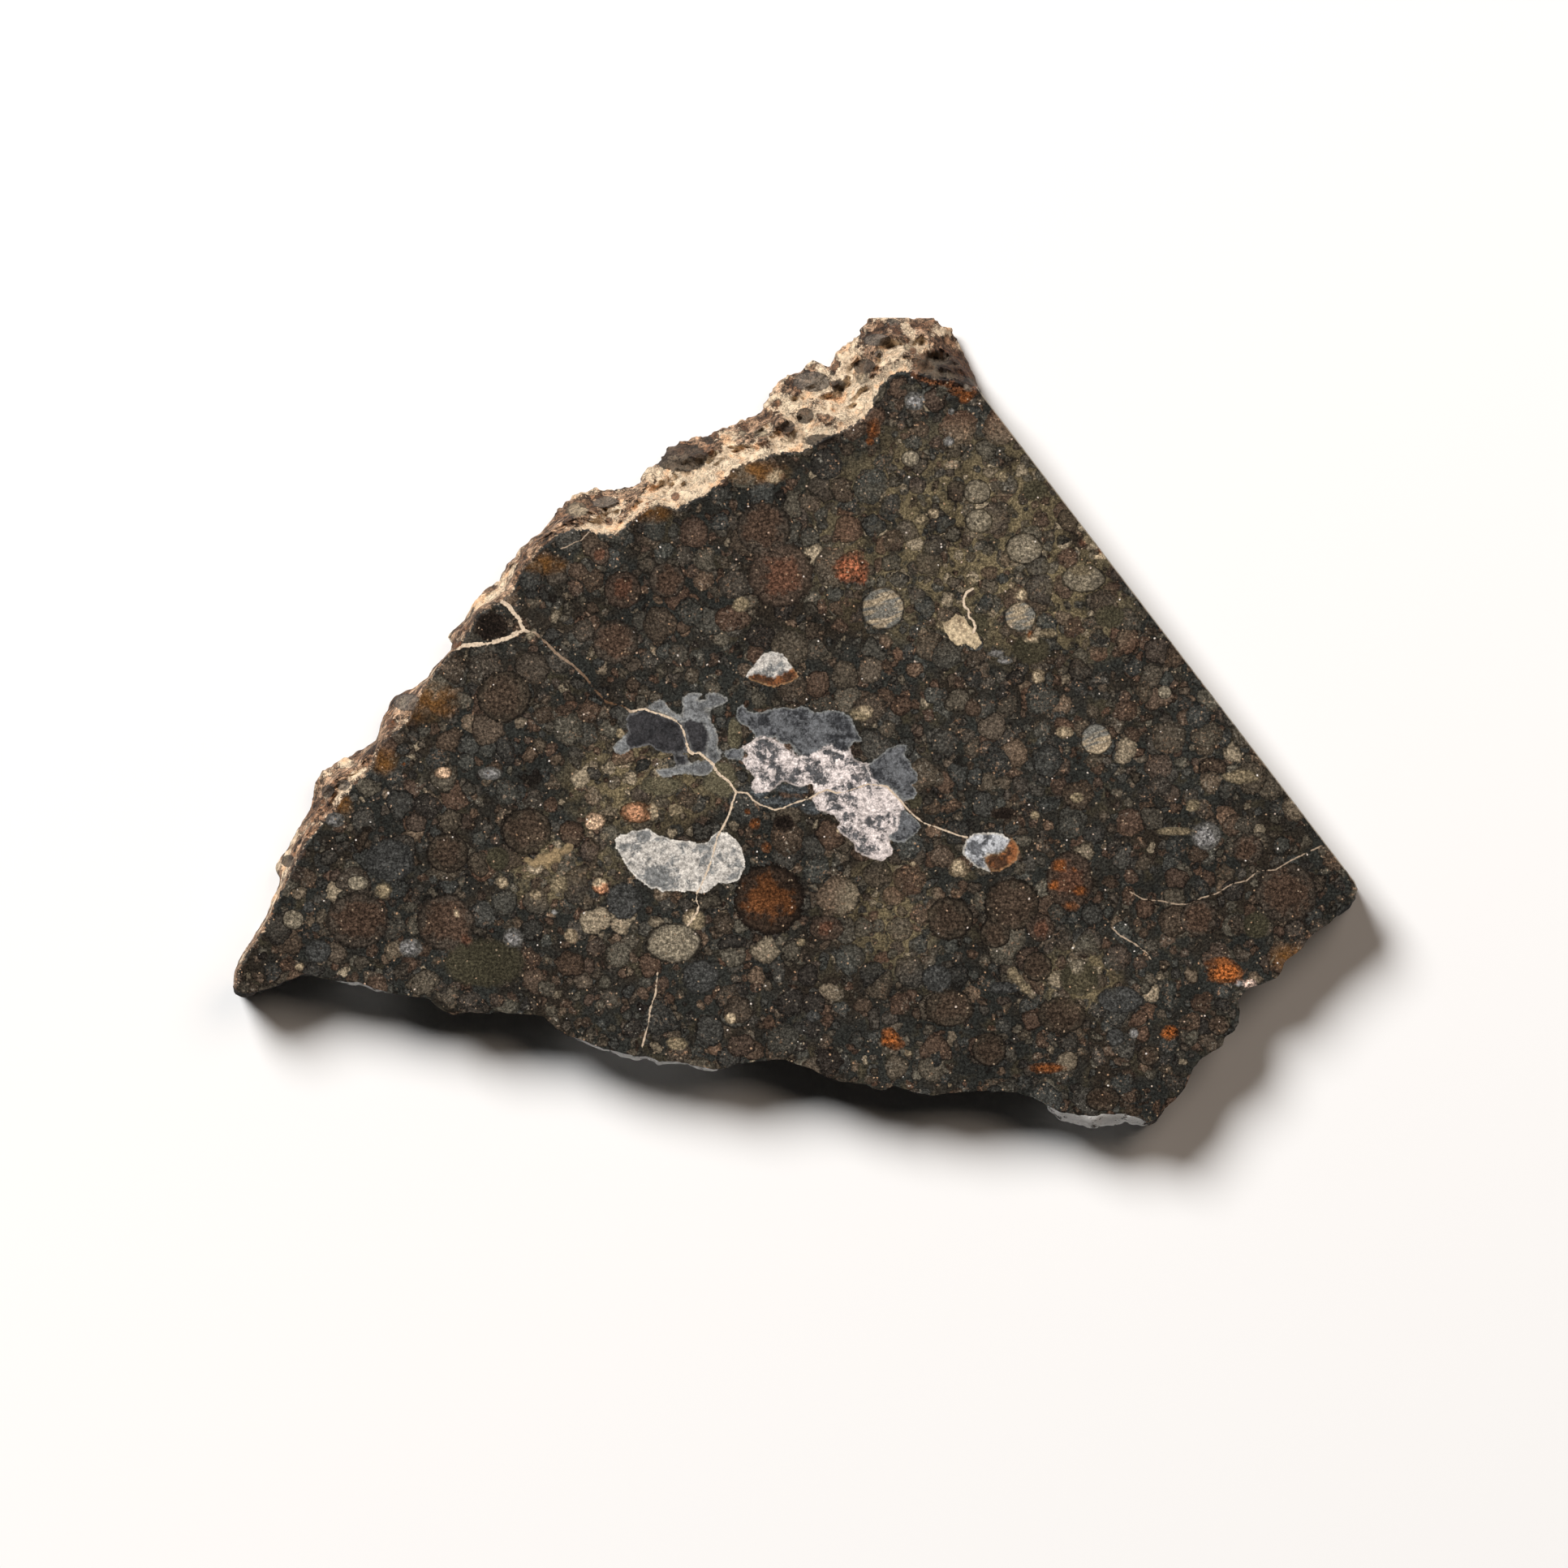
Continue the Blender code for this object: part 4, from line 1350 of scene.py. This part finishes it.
# %% Chance grains
CREASE = light_of((22, 19, 16))
CRUMB_PEACH = light_of((168, 132, 104))
CRUMB_GREY = light_of((150, 146, 134))
GRAIN_SCALE = [
    (0.00, light_of((46, 41, 37))), (0.14, light_of((66, 67, 64))),
    (0.30, light_of((74, 64, 54))), (0.44, light_of((83, 66, 55))),
    (0.56, light_of((66, 67, 63))), (0.70, light_of((80, 71, 60))),
    (0.84, light_of((90, 86, 76))), (0.91, light_of((91, 70, 57))),
    (0.975, light_of((116, 106, 90))), (1.00, light_of((156, 142, 120))),
]
# Each layer: distance between seeds, then smallest and largest grain as a share of it
LAYERS = [(0.50, 0.28, 0.60), (0.80, 0.24, 0.60), (1.25, 0.22, 0.58), (1.90, 0.16, 0.50)]
KHAKI_LIFT = 0.10
GRAIN_RAG = 0.24
GRAIN_EDGE_BLUR = 0.006
EDGE_LIGHT = 0.74
MIDDLE_LIGHT = 1.12
MIDDLE_START = 0.04
MIDDLE_GROWTH = 0.16
CREASE_WIDTH = 0.035
CREASE_GROWTH = 0.032

crumbs = finish.between(finish.noise(place_crumpled, 0.17, 4.0, 0.75), 0.55, 0.68)
crumb_colour = finish.mix(finish.between(mid_noise, 0.4, 0.6), CRUMB_PEACH, CRUMB_GREY)
grain_noise = finish.noise(place_crumpled, 0.20, 5.0, 0.8)
grainy = finish.between(grain_noise, 0.34, 0.66, 0.62, 1.42)


def layer_gap(size, smallest, largest):
    """How far inside a grain each place lies, in millimetres: its chance radius less the
    distance to its seed, or the distance to the cell's border where that is less. Also
    two random numbers for the grain."""
    distance, chance, shade, kind = finish.cells(place_bent, size)
    radius = finish.times_plus(chance, largest - smallest, smallest)
    gap = finish.math("MINIMUM", finish.minus(radius, distance),
                      finish.to_border(place_bent, size))
    return finish.times_plus(ragged, GRAIN_RAG, finish.times(gap, size)), shade, kind


def layer_body(size, gap, shade, kind):
    """Colour of the grains of a layer, with crumbs, a brighter middle and a dark crease."""
    body = finish.ramp(finish.times_plus(khaki, KHAKI_LIFT, shade), GRAIN_SCALE)
    crumb_light = finish.times(crumbs, finish.between(kind, 0.2, 0.9, 0.1, 0.9))
    body = finish.mix(crumb_light, body, crumb_colour)
    middle = MIDDLE_START + MIDDLE_GROWTH * size
    body = finish.lit(body, finish.between(gap, MIDDLE_START, middle, EDGE_LIGHT, MIDDLE_LIGHT))
    crease_width = CREASE_WIDTH + CREASE_GROWTH * size
    crease = finish.between(gap, 0.2 * crease_width, crease_width, 0.85, 0.0)
    crease = finish.times(crease, finish.between(kind, 0.1, 0.8, 1.0, 0.35))
    return finish.mix(crease, finish.lit(body, grainy), CREASE)


for size, smallest, largest in LAYERS:
    gap, shade, kind = layer_gap(size, smallest, largest)
    body = layer_body(size, gap, shade, kind)
    inside_grain = finish.between(gap, -GRAIN_EDGE_BLUR, GRAIN_EDGE_BLUR)
    colour = finish.mix(inside_grain, colour, body)
print(len(finish.tree.nodes), "nodes so far")

# %% [markdown]
# ### The named grains
#
# The grains that we placed one by one come from the attributes: how near the middle of
# its grain each place is, and the grain's colours. Their cores wander off centre, as
# molten drops cool unevenly. Three of them are barred: they carry parallel bands, which
# we get from noise that is stretched five times along one direction.

# %% Bodies and cores
GRAIN_WANDER = 0.42
CORE_WANDER = 1.7

near, core_size, speckled = finish.stored("grain_form")
edged, striped, _ = finish.stored("grain_rim")
near = finish.times_plus(ragged, GRAIN_WANDER, near)
core_wander = finish.wander(place, 0.8, 4.0, 0.7)
loose = finish.between(edged, 0.1, 0.0, 0.0, 1.1)
near = finish.times_plus(core_wander, loose, near)
core_near = finish.times_plus(core_wander, CORE_WANDER, near)
core_mask = finish.between(finish.minus(core_size, core_near), -0.14, 0.18)
grain_colour = finish.mix(core_mask, finish.stored_colour("grain_body"),
                          finish.stored_colour("grain_core"))
speck_noise = finish.noise(place_crumpled, 0.16, 4.0, 0.75)
speck = finish.minus(finish.between(speck_noise, 0.36, 0.66, 0.45, 1.7), 1.0)
grain_colour = finish.lit(grain_colour, finish.times_plus(speck, speckled, 1.0))
print(len(finish.tree.nodes), "nodes so far")

# %% Bands and dark rims
STRIPE_TURN = float(np.radians(18.0))
STRIPE_SCALE = (5.0, 1.0, 1.0)
STRIPE_SHARE = 0.8
STRIPE_GREY = light_of((112, 112, 108))
STRIPE_PEACH = light_of((176, 158, 132))
RIM_SHARE = 0.9

turn = finish.tree.nodes.new("ShaderNodeMapping")
turn.vector_type = "TEXTURE"
turn.inputs["Rotation"].default_value[2] = STRIPE_TURN
turn.inputs["Scale"].default_value = STRIPE_SCALE
finish.join(place, turn.inputs["Vector"])
bands = finish.between(finish.noise(turn.outputs["Vector"], 0.30, 2.0, 0.5), 0.42, 0.58)
stripe_colour = finish.mix(bands, STRIPE_GREY, STRIPE_PEACH)
grain_colour = finish.mix(finish.times(striped, STRIPE_SHARE), grain_colour, stripe_colour)
grain_rim = finish.times(finish.between(near, 0.84, 0.93), edged)
grain_colour = finish.mix(finish.times(grain_rim, RIM_SHARE), grain_colour, CREASE)
grain_mask = finish.between(near, 1.02, finish.times_plus(edged, 0.20, 0.76))
colour = finish.mix(grain_mask, colour, grain_colour)
print(len(finish.tree.nodes), "nodes so far")

# %% [markdown]
# ### Stains and grit
#
# Rust and khaki stains soak through ground and grains alike, so they are laid over
# both. On top comes grit that is the same everywhere: crumbs with dark creases, light
# and dark dust, and rare bright specks, which are bright grains with painted glints.
# Without it the grains would look like painted discs. The crumbs use the distance to the
# borders of cell noise, which gives thin lines where plain noise would give only clouds.

# %% Stains
KHAKI_TINT = light_of((126, 114, 90))
RUST_TINT = light_of((132, 90, 44))
KHAKI_SHARE = 0.22

tinted = finish.times(finish.between(khaki_noise, 0.42, 0.60), KHAKI_SHARE)
colour = finish.mix(finish.times(khaki, tinted), colour, KHAKI_TINT)
rusted = finish.between(khaki_noise, 0.34, 0.58, 0.2, 0.7)
colour = finish.mix(finish.times(rust, rusted), colour, RUST_TINT)
print(len(finish.tree.nodes), "nodes so far")

# %% Grit over everything
CRUMB_CREASE = 0.16
DUST_POWER = 3.6
SPECK_SPACING = 0.13
SPECK_AND_GLINT_SCALE = [(0.0, light_of((130, 114, 94))), (0.5, light_of((176, 156, 132))),
               (0.8, light_of((190, 150, 116))), (1.0, light_of((255, 250, 244)))]


def crumbled(size, darkness):
    """Crumbs of a size with creases of a darkness between them."""
    return finish.between(finish.to_border(place_crumpled, size), 0.0, CRUMB_CREASE,
                          1.0 - darkness, 1.0)


fine_noise = finish.noise(place, 0.12, 4.0, 0.85)
dust = finish.math("POWER", finish.times(fine_noise, 2.0), DUST_POWER)
grit_light = finish.times(finish.times(crumbled(0.34, 0.26), crumbled(0.15, 0.16)), dust)
clouded = finish.noise(moved((4.0, 0.0, 6.0)), 2.6, 2.0, 0.6)
grit_light = finish.times(grit_light, finish.between(clouded, 0.36, 0.62, 0.84, 1.14))
colour = finish.lit(colour, grit_light)
# Rare bright specks: bright grains, lifted to near white as painted glints
from_speck, speck_chance, speck_shade, _ = finish.cells(place_crumpled, SPECK_SPACING)
is_speck_or_glint = finish.times(finish.between(speck_chance, 0.955, 0.965),
                        finish.between(from_speck, 0.40, 0.24))
colour = finish.mix(is_speck_or_glint, colour, finish.ramp(speck_shade, SPECK_AND_GLINT_SCALE))
print(len(finish.tree.nodes), "nodes so far")

# %% [markdown]
# ### Pale inclusions
#
# The pale patches are calcium and aluminium rich inclusions, the oldest parts of the
# stone. The attribute says how deep inside a patch each place is, so noise added to it
# frays the edge. Smudges of a second colour mottle the patch, a thin border runs round
# it, and where pink and blue parts meet, pale fibres reach from one into the other.

# %% Mottled inclusions
PATCH_FRAY = 0.24
CLOUD_SHARE = 0.6
FIBRE_REACH = 2.6
FIBRE_SHARE = 0.85
BORDER_SHARE = 0.7
FIBRE = light_of((222, 212, 208))

patch_depth, patch_share, patch_pink = finish.stored("patch")
edge_noise = finish.wander(place, 0.16, 4.0, 0.75)
patch_depth = finish.times_plus(edge_noise, PATCH_FRAY, patch_depth)
smudges = finish.noise(bent(0.25, 0.35, 1.0), 0.46, 5.0, 0.75)
smudges = finish.times_plus(finish.wander(place, 1.3, 3.0, 0.6), CLOUD_SHARE, smudges)
smudged = finish.between(finish.minus(patch_share, smudges), -0.07, 0.07)
patch_colour = finish.mix(smudged, finish.stored_colour("patch_main"),
                          finish.stored_colour("patch_dark"))
fibres = finish.wander(bent(0.30, 0.5, 2.0), 0.26, 5.0, 0.8)
fibres = finish.between(finish.times_plus(fibres, FIBRE_REACH, patch_pink), 0.62, 0.80)
where_mixed = finish.times(finish.between(patch_pink, 0.0, 0.15),
                           finish.between(patch_pink, 1.0, 0.85))
fibres = finish.times(finish.times(fibres, where_mixed), FIBRE_SHARE)
patch_colour = finish.mix(fibres, patch_colour, FIBRE)
border = finish.times(finish.between(patch_depth, 0.11, 0.02), BORDER_SHARE)
patch_colour = finish.mix(border, patch_colour, finish.stored_colour("patch_border"))
patch_noise = finish.noise(place_crumpled, 0.22, 5.0, 0.85)
patch_colour = finish.lit(patch_colour, finish.between(patch_noise, 0.32, 0.66, 0.42, 1.5))
patch_colour = finish.lit(patch_colour, finish.between(fine_noise, 0.3, 0.7, 0.6, 1.4))
colour = finish.mix(finish.between(patch_depth, -0.02, 0.02), colour, patch_colour)
print(len(finish.tree.nodes), "nodes so far")

# %% [markdown]
# ### Filled cracks
#
# The cracks were filled with cream carbonate in the desert. They could be thin tubes
# of their own, but the polish has cut them level with the stone, so they are paint: a
# place is in the crack where its distance to the line is less than half the width.
# Noise moves the line a little and makes it thin out and break up.

# %% Paint the cracks
CREAM = light_of((232, 210, 184))
BROWN_FILL = light_of((88, 58, 34))
CRACK_WOBBLE = 0.09
FADED = 0.018

crack_noise = finish.noise(place, 0.40, 3.0, 0.7)
crack_grain = finish.noise(place, 0.12, 3.0, 0.7)
for name in ("long_crack", "side_crack"):
    aside, half, tone = finish.stored(name)
    aside = finish.math("ABSOLUTE", finish.times_plus(edge_noise, CRACK_WOBBLE, aside))
    thinnest = finish.between(tone, 0.5, 0.9, 0.25, 0.45)
    kept = finish.between(crack_noise, 0.36, 0.54, thinnest, 1.1)
    thinned = finish.minus(finish.times(half, kept), finish.between(kept, 0.2, 1.0, FADED, 0.0))
    crack_mask = finish.between(finish.minus(thinned, aside), -0.016, 0.008)
    crack_colour = finish.mix(tone, BROWN_FILL, CREAM)
    crack_colour = finish.lit(crack_colour, finish.between(crack_grain, 0.3, 0.6, 0.6, 1.1))
    colour = finish.mix(crack_mask, colour, crack_colour)
print(len(finish.tree.nodes), "nodes so far")

# %% [markdown]
# ### The weathered crust
#
# The outside of the stone shows brown rock with cream caliche, a desert limestone, in
# its hollows and along the rim of the face. The same relief that shaped the wall says
# where the hollows are, so the fill sits in them as it would on the real stone. The rock
# carries painted highlights, and fine dark lines of painted shade mark the cracks and
# crevices that part the lumps.

# %% Rock and caliche
CALICHE = (0.78, 0.63, 0.45)
CALICHE_DARK = (0.62, 0.46, 0.31)
PEACH = (0.84, 0.50, 0.28)
ROCK_SCALE = [(0.0, light_of((66, 48, 36))), (0.25, light_of((146, 108, 80))),
              (0.5, light_of((176, 144, 116))), (0.75, light_of((98, 70, 50))),
              (1.0, light_of((204, 170, 140)))]
ROCK_LUMP = 0.60

crust, sunk, fill_bias = finish.stored("skin")
_, _, lump_shade, _ = finish.cells(place_bent, ROCK_LUMP)
# Noise multiplies the rock's colour from dark to over twice as bright: painted highlights
rock_highlight_noise = finish.noise(place_crumpled, 0.30, 4.0, 0.85)
rock = finish.lit(finish.ramp(lump_shade, ROCK_SCALE),
                  finish.between(rock_highlight_noise, 0.38, 0.64, 0.14, 2.3))
caliche_noise = finish.noise(place, 0.45, 4.0, 0.7)
fill = finish.mix(finish.between(caliche_noise, 0.35, 0.65), CALICHE_DARK, CALICHE)
peachy = finish.noise(moved((0.0, 7.0, 2.0)), 0.9, 3.0, 0.6)
fill = finish.mix(finish.between(peachy, 0.52, 0.66, 0.0, 0.8), fill, PEACH)
fill_noise = finish.noise(place_crumpled, 0.24, 4.0, 0.85)
fill = finish.lit(fill, finish.between(fill_noise, 0.34, 0.56, 0.72, 1.20))
print(len(finish.tree.nodes), "nodes so far")

# %% Crust over the slope
FILL_SPREAD = 2.2
HOLLOW_SHARE = 0.7
GRAIN_SHARE = 0.85
CRUST_FRAY = 1.2

fill_amount = finish.times_plus(finish.wander(place_bent, 0.55, 5.0, 0.85), FILL_SPREAD,
                                finish.times_plus(sunk, HOLLOW_SHARE, fill_bias))
crust_colour = finish.mix(finish.between(fill_amount, -0.16, 0.10), rock, fill)
crust_colour = finish.mix(finish.times(grain_mask, GRAIN_SHARE), crust_colour, grain_colour)
# Thin dark lines from noise and round the edge of the caliche: painted shade in cracks and
# crevices
split_noise = finish.wander(bent(0.5, 0.4, 8.0), 0.9, 5.0, 0.8)
crack_shade = finish.between(finish.math("ABSOLUTE", split_noise), 0.0, 0.03, 0.25, 1.0)
beside_fill = finish.math("ABSOLUTE", finish.math("ADD", fill_amount, 0.12))
crevice_shade = finish.between(beside_fill, 0.0, 0.09, 0.35, 1.0)
for light in (crack_shade, crevice_shade, crumbled(0.30, 0.20)):
    crust_colour = finish.lit(crust_colour, light)
crust_edge = finish.times_plus(ragged, CRUST_FRAY, crust)
colour = finish.mix(finish.between(crust_edge, 0.46, 0.54), colour, crust_colour)
print(len(finish.tree.nodes), "nodes so far")

# %% [markdown]
# ### Pale ledges with painted bounce light, and the saw's edge
#
# Pale rock shows where the lower break steps out in a ledge, painted brighter than it is
# to stand for light bounced up from the paper. A thin bright line runs along the straight
# edge of the face, at the top of the saw cut.

# %% Ledges and saw edge
# Pale ledge rock, made brighter than its own colour as painted bounce light from the paper
PALE_LEDGE_AND_BOUNCE = (0.90, 0.88, 0.85)
PALE_FRAY = 1.6
# Colour of a thin bright line painted along the top of the saw cut
SAW_EDGE = light_of((190, 180, 164))
SAW_EDGE_FOOT = 2.92
SAW_EDGE_TOP = 2.96

broken, sawn, under = finish.stored("sides")
spotted = finish.between(finish.noise(place, 0.5, 4.0, 0.75), 0.36, 0.46)
# Pale ledge colour: pale rock plus painted bounce light
pale_ledge_and_bounce = finish.between(finish.times_plus(ragged, PALE_FRAY, pale_ledge_and_bounce), 0.45, 0.60)
colour = finish.mix(finish.times(pale_ledge_and_bounce, spotted), colour, PALE_LEDGE_AND_BOUNCE)
height = finish.tree.nodes.new("ShaderNodeSeparateXYZ")
finish.join(place, height.inputs[0])
top_edge = finish.times(finish.between(height.outputs[2], SAW_EDGE_FOOT, SAW_EDGE_TOP),
                        finish.between(sawn, 0.05, 0.3))
top_edge = finish.times(top_edge, finish.between(crack_noise, 0.30, 0.50, 0.2, 0.9))
colour = finish.mix(top_edge, colour, SAW_EDGE)
print(len(finish.tree.nodes), "nodes so far")

# %% [markdown]
# ### Polish and roughness
#
# The upper face is polished, and its reflections are soft and weak. The crust, the
# breaks, the saw cut and the underside are dull and gritty. The grit is a bump, which
# bends the light without moving the surface, as it is finer than the mesh can carry.

# %% Shader
POLISHED = 0.24
DULL = 0.85
REFLECTION = 0.35
BUMP_HEIGHT = 0.00026
BUMP_ON_POLISH = 0.03

shader = finish.shader
finish.join(colour, shader.inputs["Base Color"])
dull = finish.math("MAXIMUM", crust, finish.math("MAXIMUM", broken, sawn))
dull = finish.math("MAXIMUM", dull, under)
finish.join(finish.between(dull, 0.2, 0.8, POLISHED, DULL), shader.inputs["Roughness"])
shader.inputs["Specular IOR Level"].default_value = REFLECTION
bump = finish.tree.nodes.new("ShaderNodeBump")
bump.inputs["Distance"].default_value = BUMP_HEIGHT
finish.join(finish.between(dull, 0.2, 0.8, BUMP_ON_POLISH, 1.0), bump.inputs["Strength"])
finish.join(finish.noise(place, 0.34, 5.0, 0.78), bump.inputs["Height"])
finish.join(bump.outputs["Normal"], shader.inputs["Normal"])
mesh.materials.append(finish.material)
print(len(finish.tree.nodes), "nodes in all")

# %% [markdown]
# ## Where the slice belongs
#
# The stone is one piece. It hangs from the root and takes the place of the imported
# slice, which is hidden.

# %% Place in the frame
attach(stone, "root")
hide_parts(STONE_NODE)
print("the stone stands in for", STONE_NODE)

# %% [markdown]
# ## Floor, light and camera
#
# The slice lies on white paper. A large soft light on the upper left gives the short
# shadow at the lower right, and a weak warm one from the upper right fills it. A round
# light of this size blurs the shadow's edge by itself, so nothing is painted.

# %% Floor
FLOOR_SIZE = 1.2
PAPER = (0.8, 0.8, 0.8)
PAPER_ROUGHNESS = 0.9
PAPER_REFLECTION = 0.1

half_floor = FLOOR_SIZE / 2
corners = [(-half_floor, -half_floor, 0.0), (half_floor, -half_floor, 0.0),
           (half_floor, half_floor, 0.0), (-half_floor, half_floor, 0.0)]
floor_mesh = bpy.data.meshes.new("floor")
floor_mesh.from_pydata(corners, [], [(0, 1, 2, 3)])
floor = bpy.data.objects.new("floor", floor_mesh)
bpy.context.scene.collection.objects.link(floor)
paper = Finish("paper")
paper.join(PAPER, paper.shader.inputs["Base Color"])
paper.shader.inputs["Roughness"].default_value = PAPER_ROUGHNESS
paper.shader.inputs["Specular IOR Level"].default_value = PAPER_REFLECTION
floor_mesh.materials.append(paper.material)
print("floor", FLOOR_SIZE, "m wide")

# %% [markdown]
# The directions and sizes of the lights were found from the shadow: which way it falls,
# how far it reaches and how softly it ends. The room adds hardly any light of its own.

# %% Lights
PHOTO_SIDE = 1932
PHOTO_CENTRE = (PHOTO_SIDE / 2, PHOTO_SIDE / 2)
LIGHT_DISTANCE = 1.0
ROOM_COLOUR = (1.0, 0.95, 0.9, 1.0)
ROOM_STRENGTH = 0.01

target = Vector((*on_stone([PHOTO_CENTRE])[0], THICKNESS))


def soft_light(name, azimuth, elevation, radius, power, colour):
    """A round soft light that faces the stone from a compass direction and a height, in
    degrees; its radius is in metres and its power in watts."""
    around, up = np.radians(azimuth), np.radians(elevation)
    direction = Vector((np.cos(around) * np.cos(up), np.sin(around) * np.cos(up), np.sin(up)))
    data = bpy.data.lights.new(name, "AREA")
    data.shape = "DISK"
    data.size = 2.0 * radius
    data.energy = power
    data.color = colour
    lamp = bpy.data.objects.new(name, data)
    lamp.location = target + direction * LIGHT_DISTANCE
    lamp.rotation_euler = direction.to_track_quat("Z", "Y").to_euler()
    bpy.context.scene.collection.objects.link(lamp)


soft_light("key", 127.0, 41.0, 0.24, 17.2, (1.0, 0.99, 0.98))
soft_light("fill", 45.0, 50.0, 0.30, 2.9, (1.0, 0.83, 0.69))
world = bpy.data.worlds.new("room")
world.use_nodes = True
background = world.node_tree.nodes["Background"]
background.inputs["Color"].default_value = ROOM_COLOUR
background.inputs["Strength"].default_value = ROOM_STRENGTH
bpy.context.scene.world = world
bpy.context.scene.view_settings.view_transform = "Standard"
print("two lights,", LIGHT_DISTANCE, "m from the stone")

# %% [markdown]
# The camera looks straight down on the middle of the photograph. Its lens is worked out
# so that one column of the photograph is one column of the picture on the upper face.

# %% Camera
CAMERA_DISTANCE = 0.8
SENSOR_WIDTH = 36.0

camera_data = bpy.data.cameras.new("camera")
camera_data.sensor_width = SENSOR_WIDTH
camera_data.lens = SENSOR_WIDTH * CAMERA_DISTANCE / (PHOTO_SIDE * PIXEL)
camera = bpy.data.objects.new("camera", camera_data)
camera.location = target + Vector((0.0, 0.0, CAMERA_DISTANCE))
bpy.context.scene.collection.objects.link(camera)
bpy.context.scene.camera = camera
print("lens, mm:", round(camera_data.lens, 1))
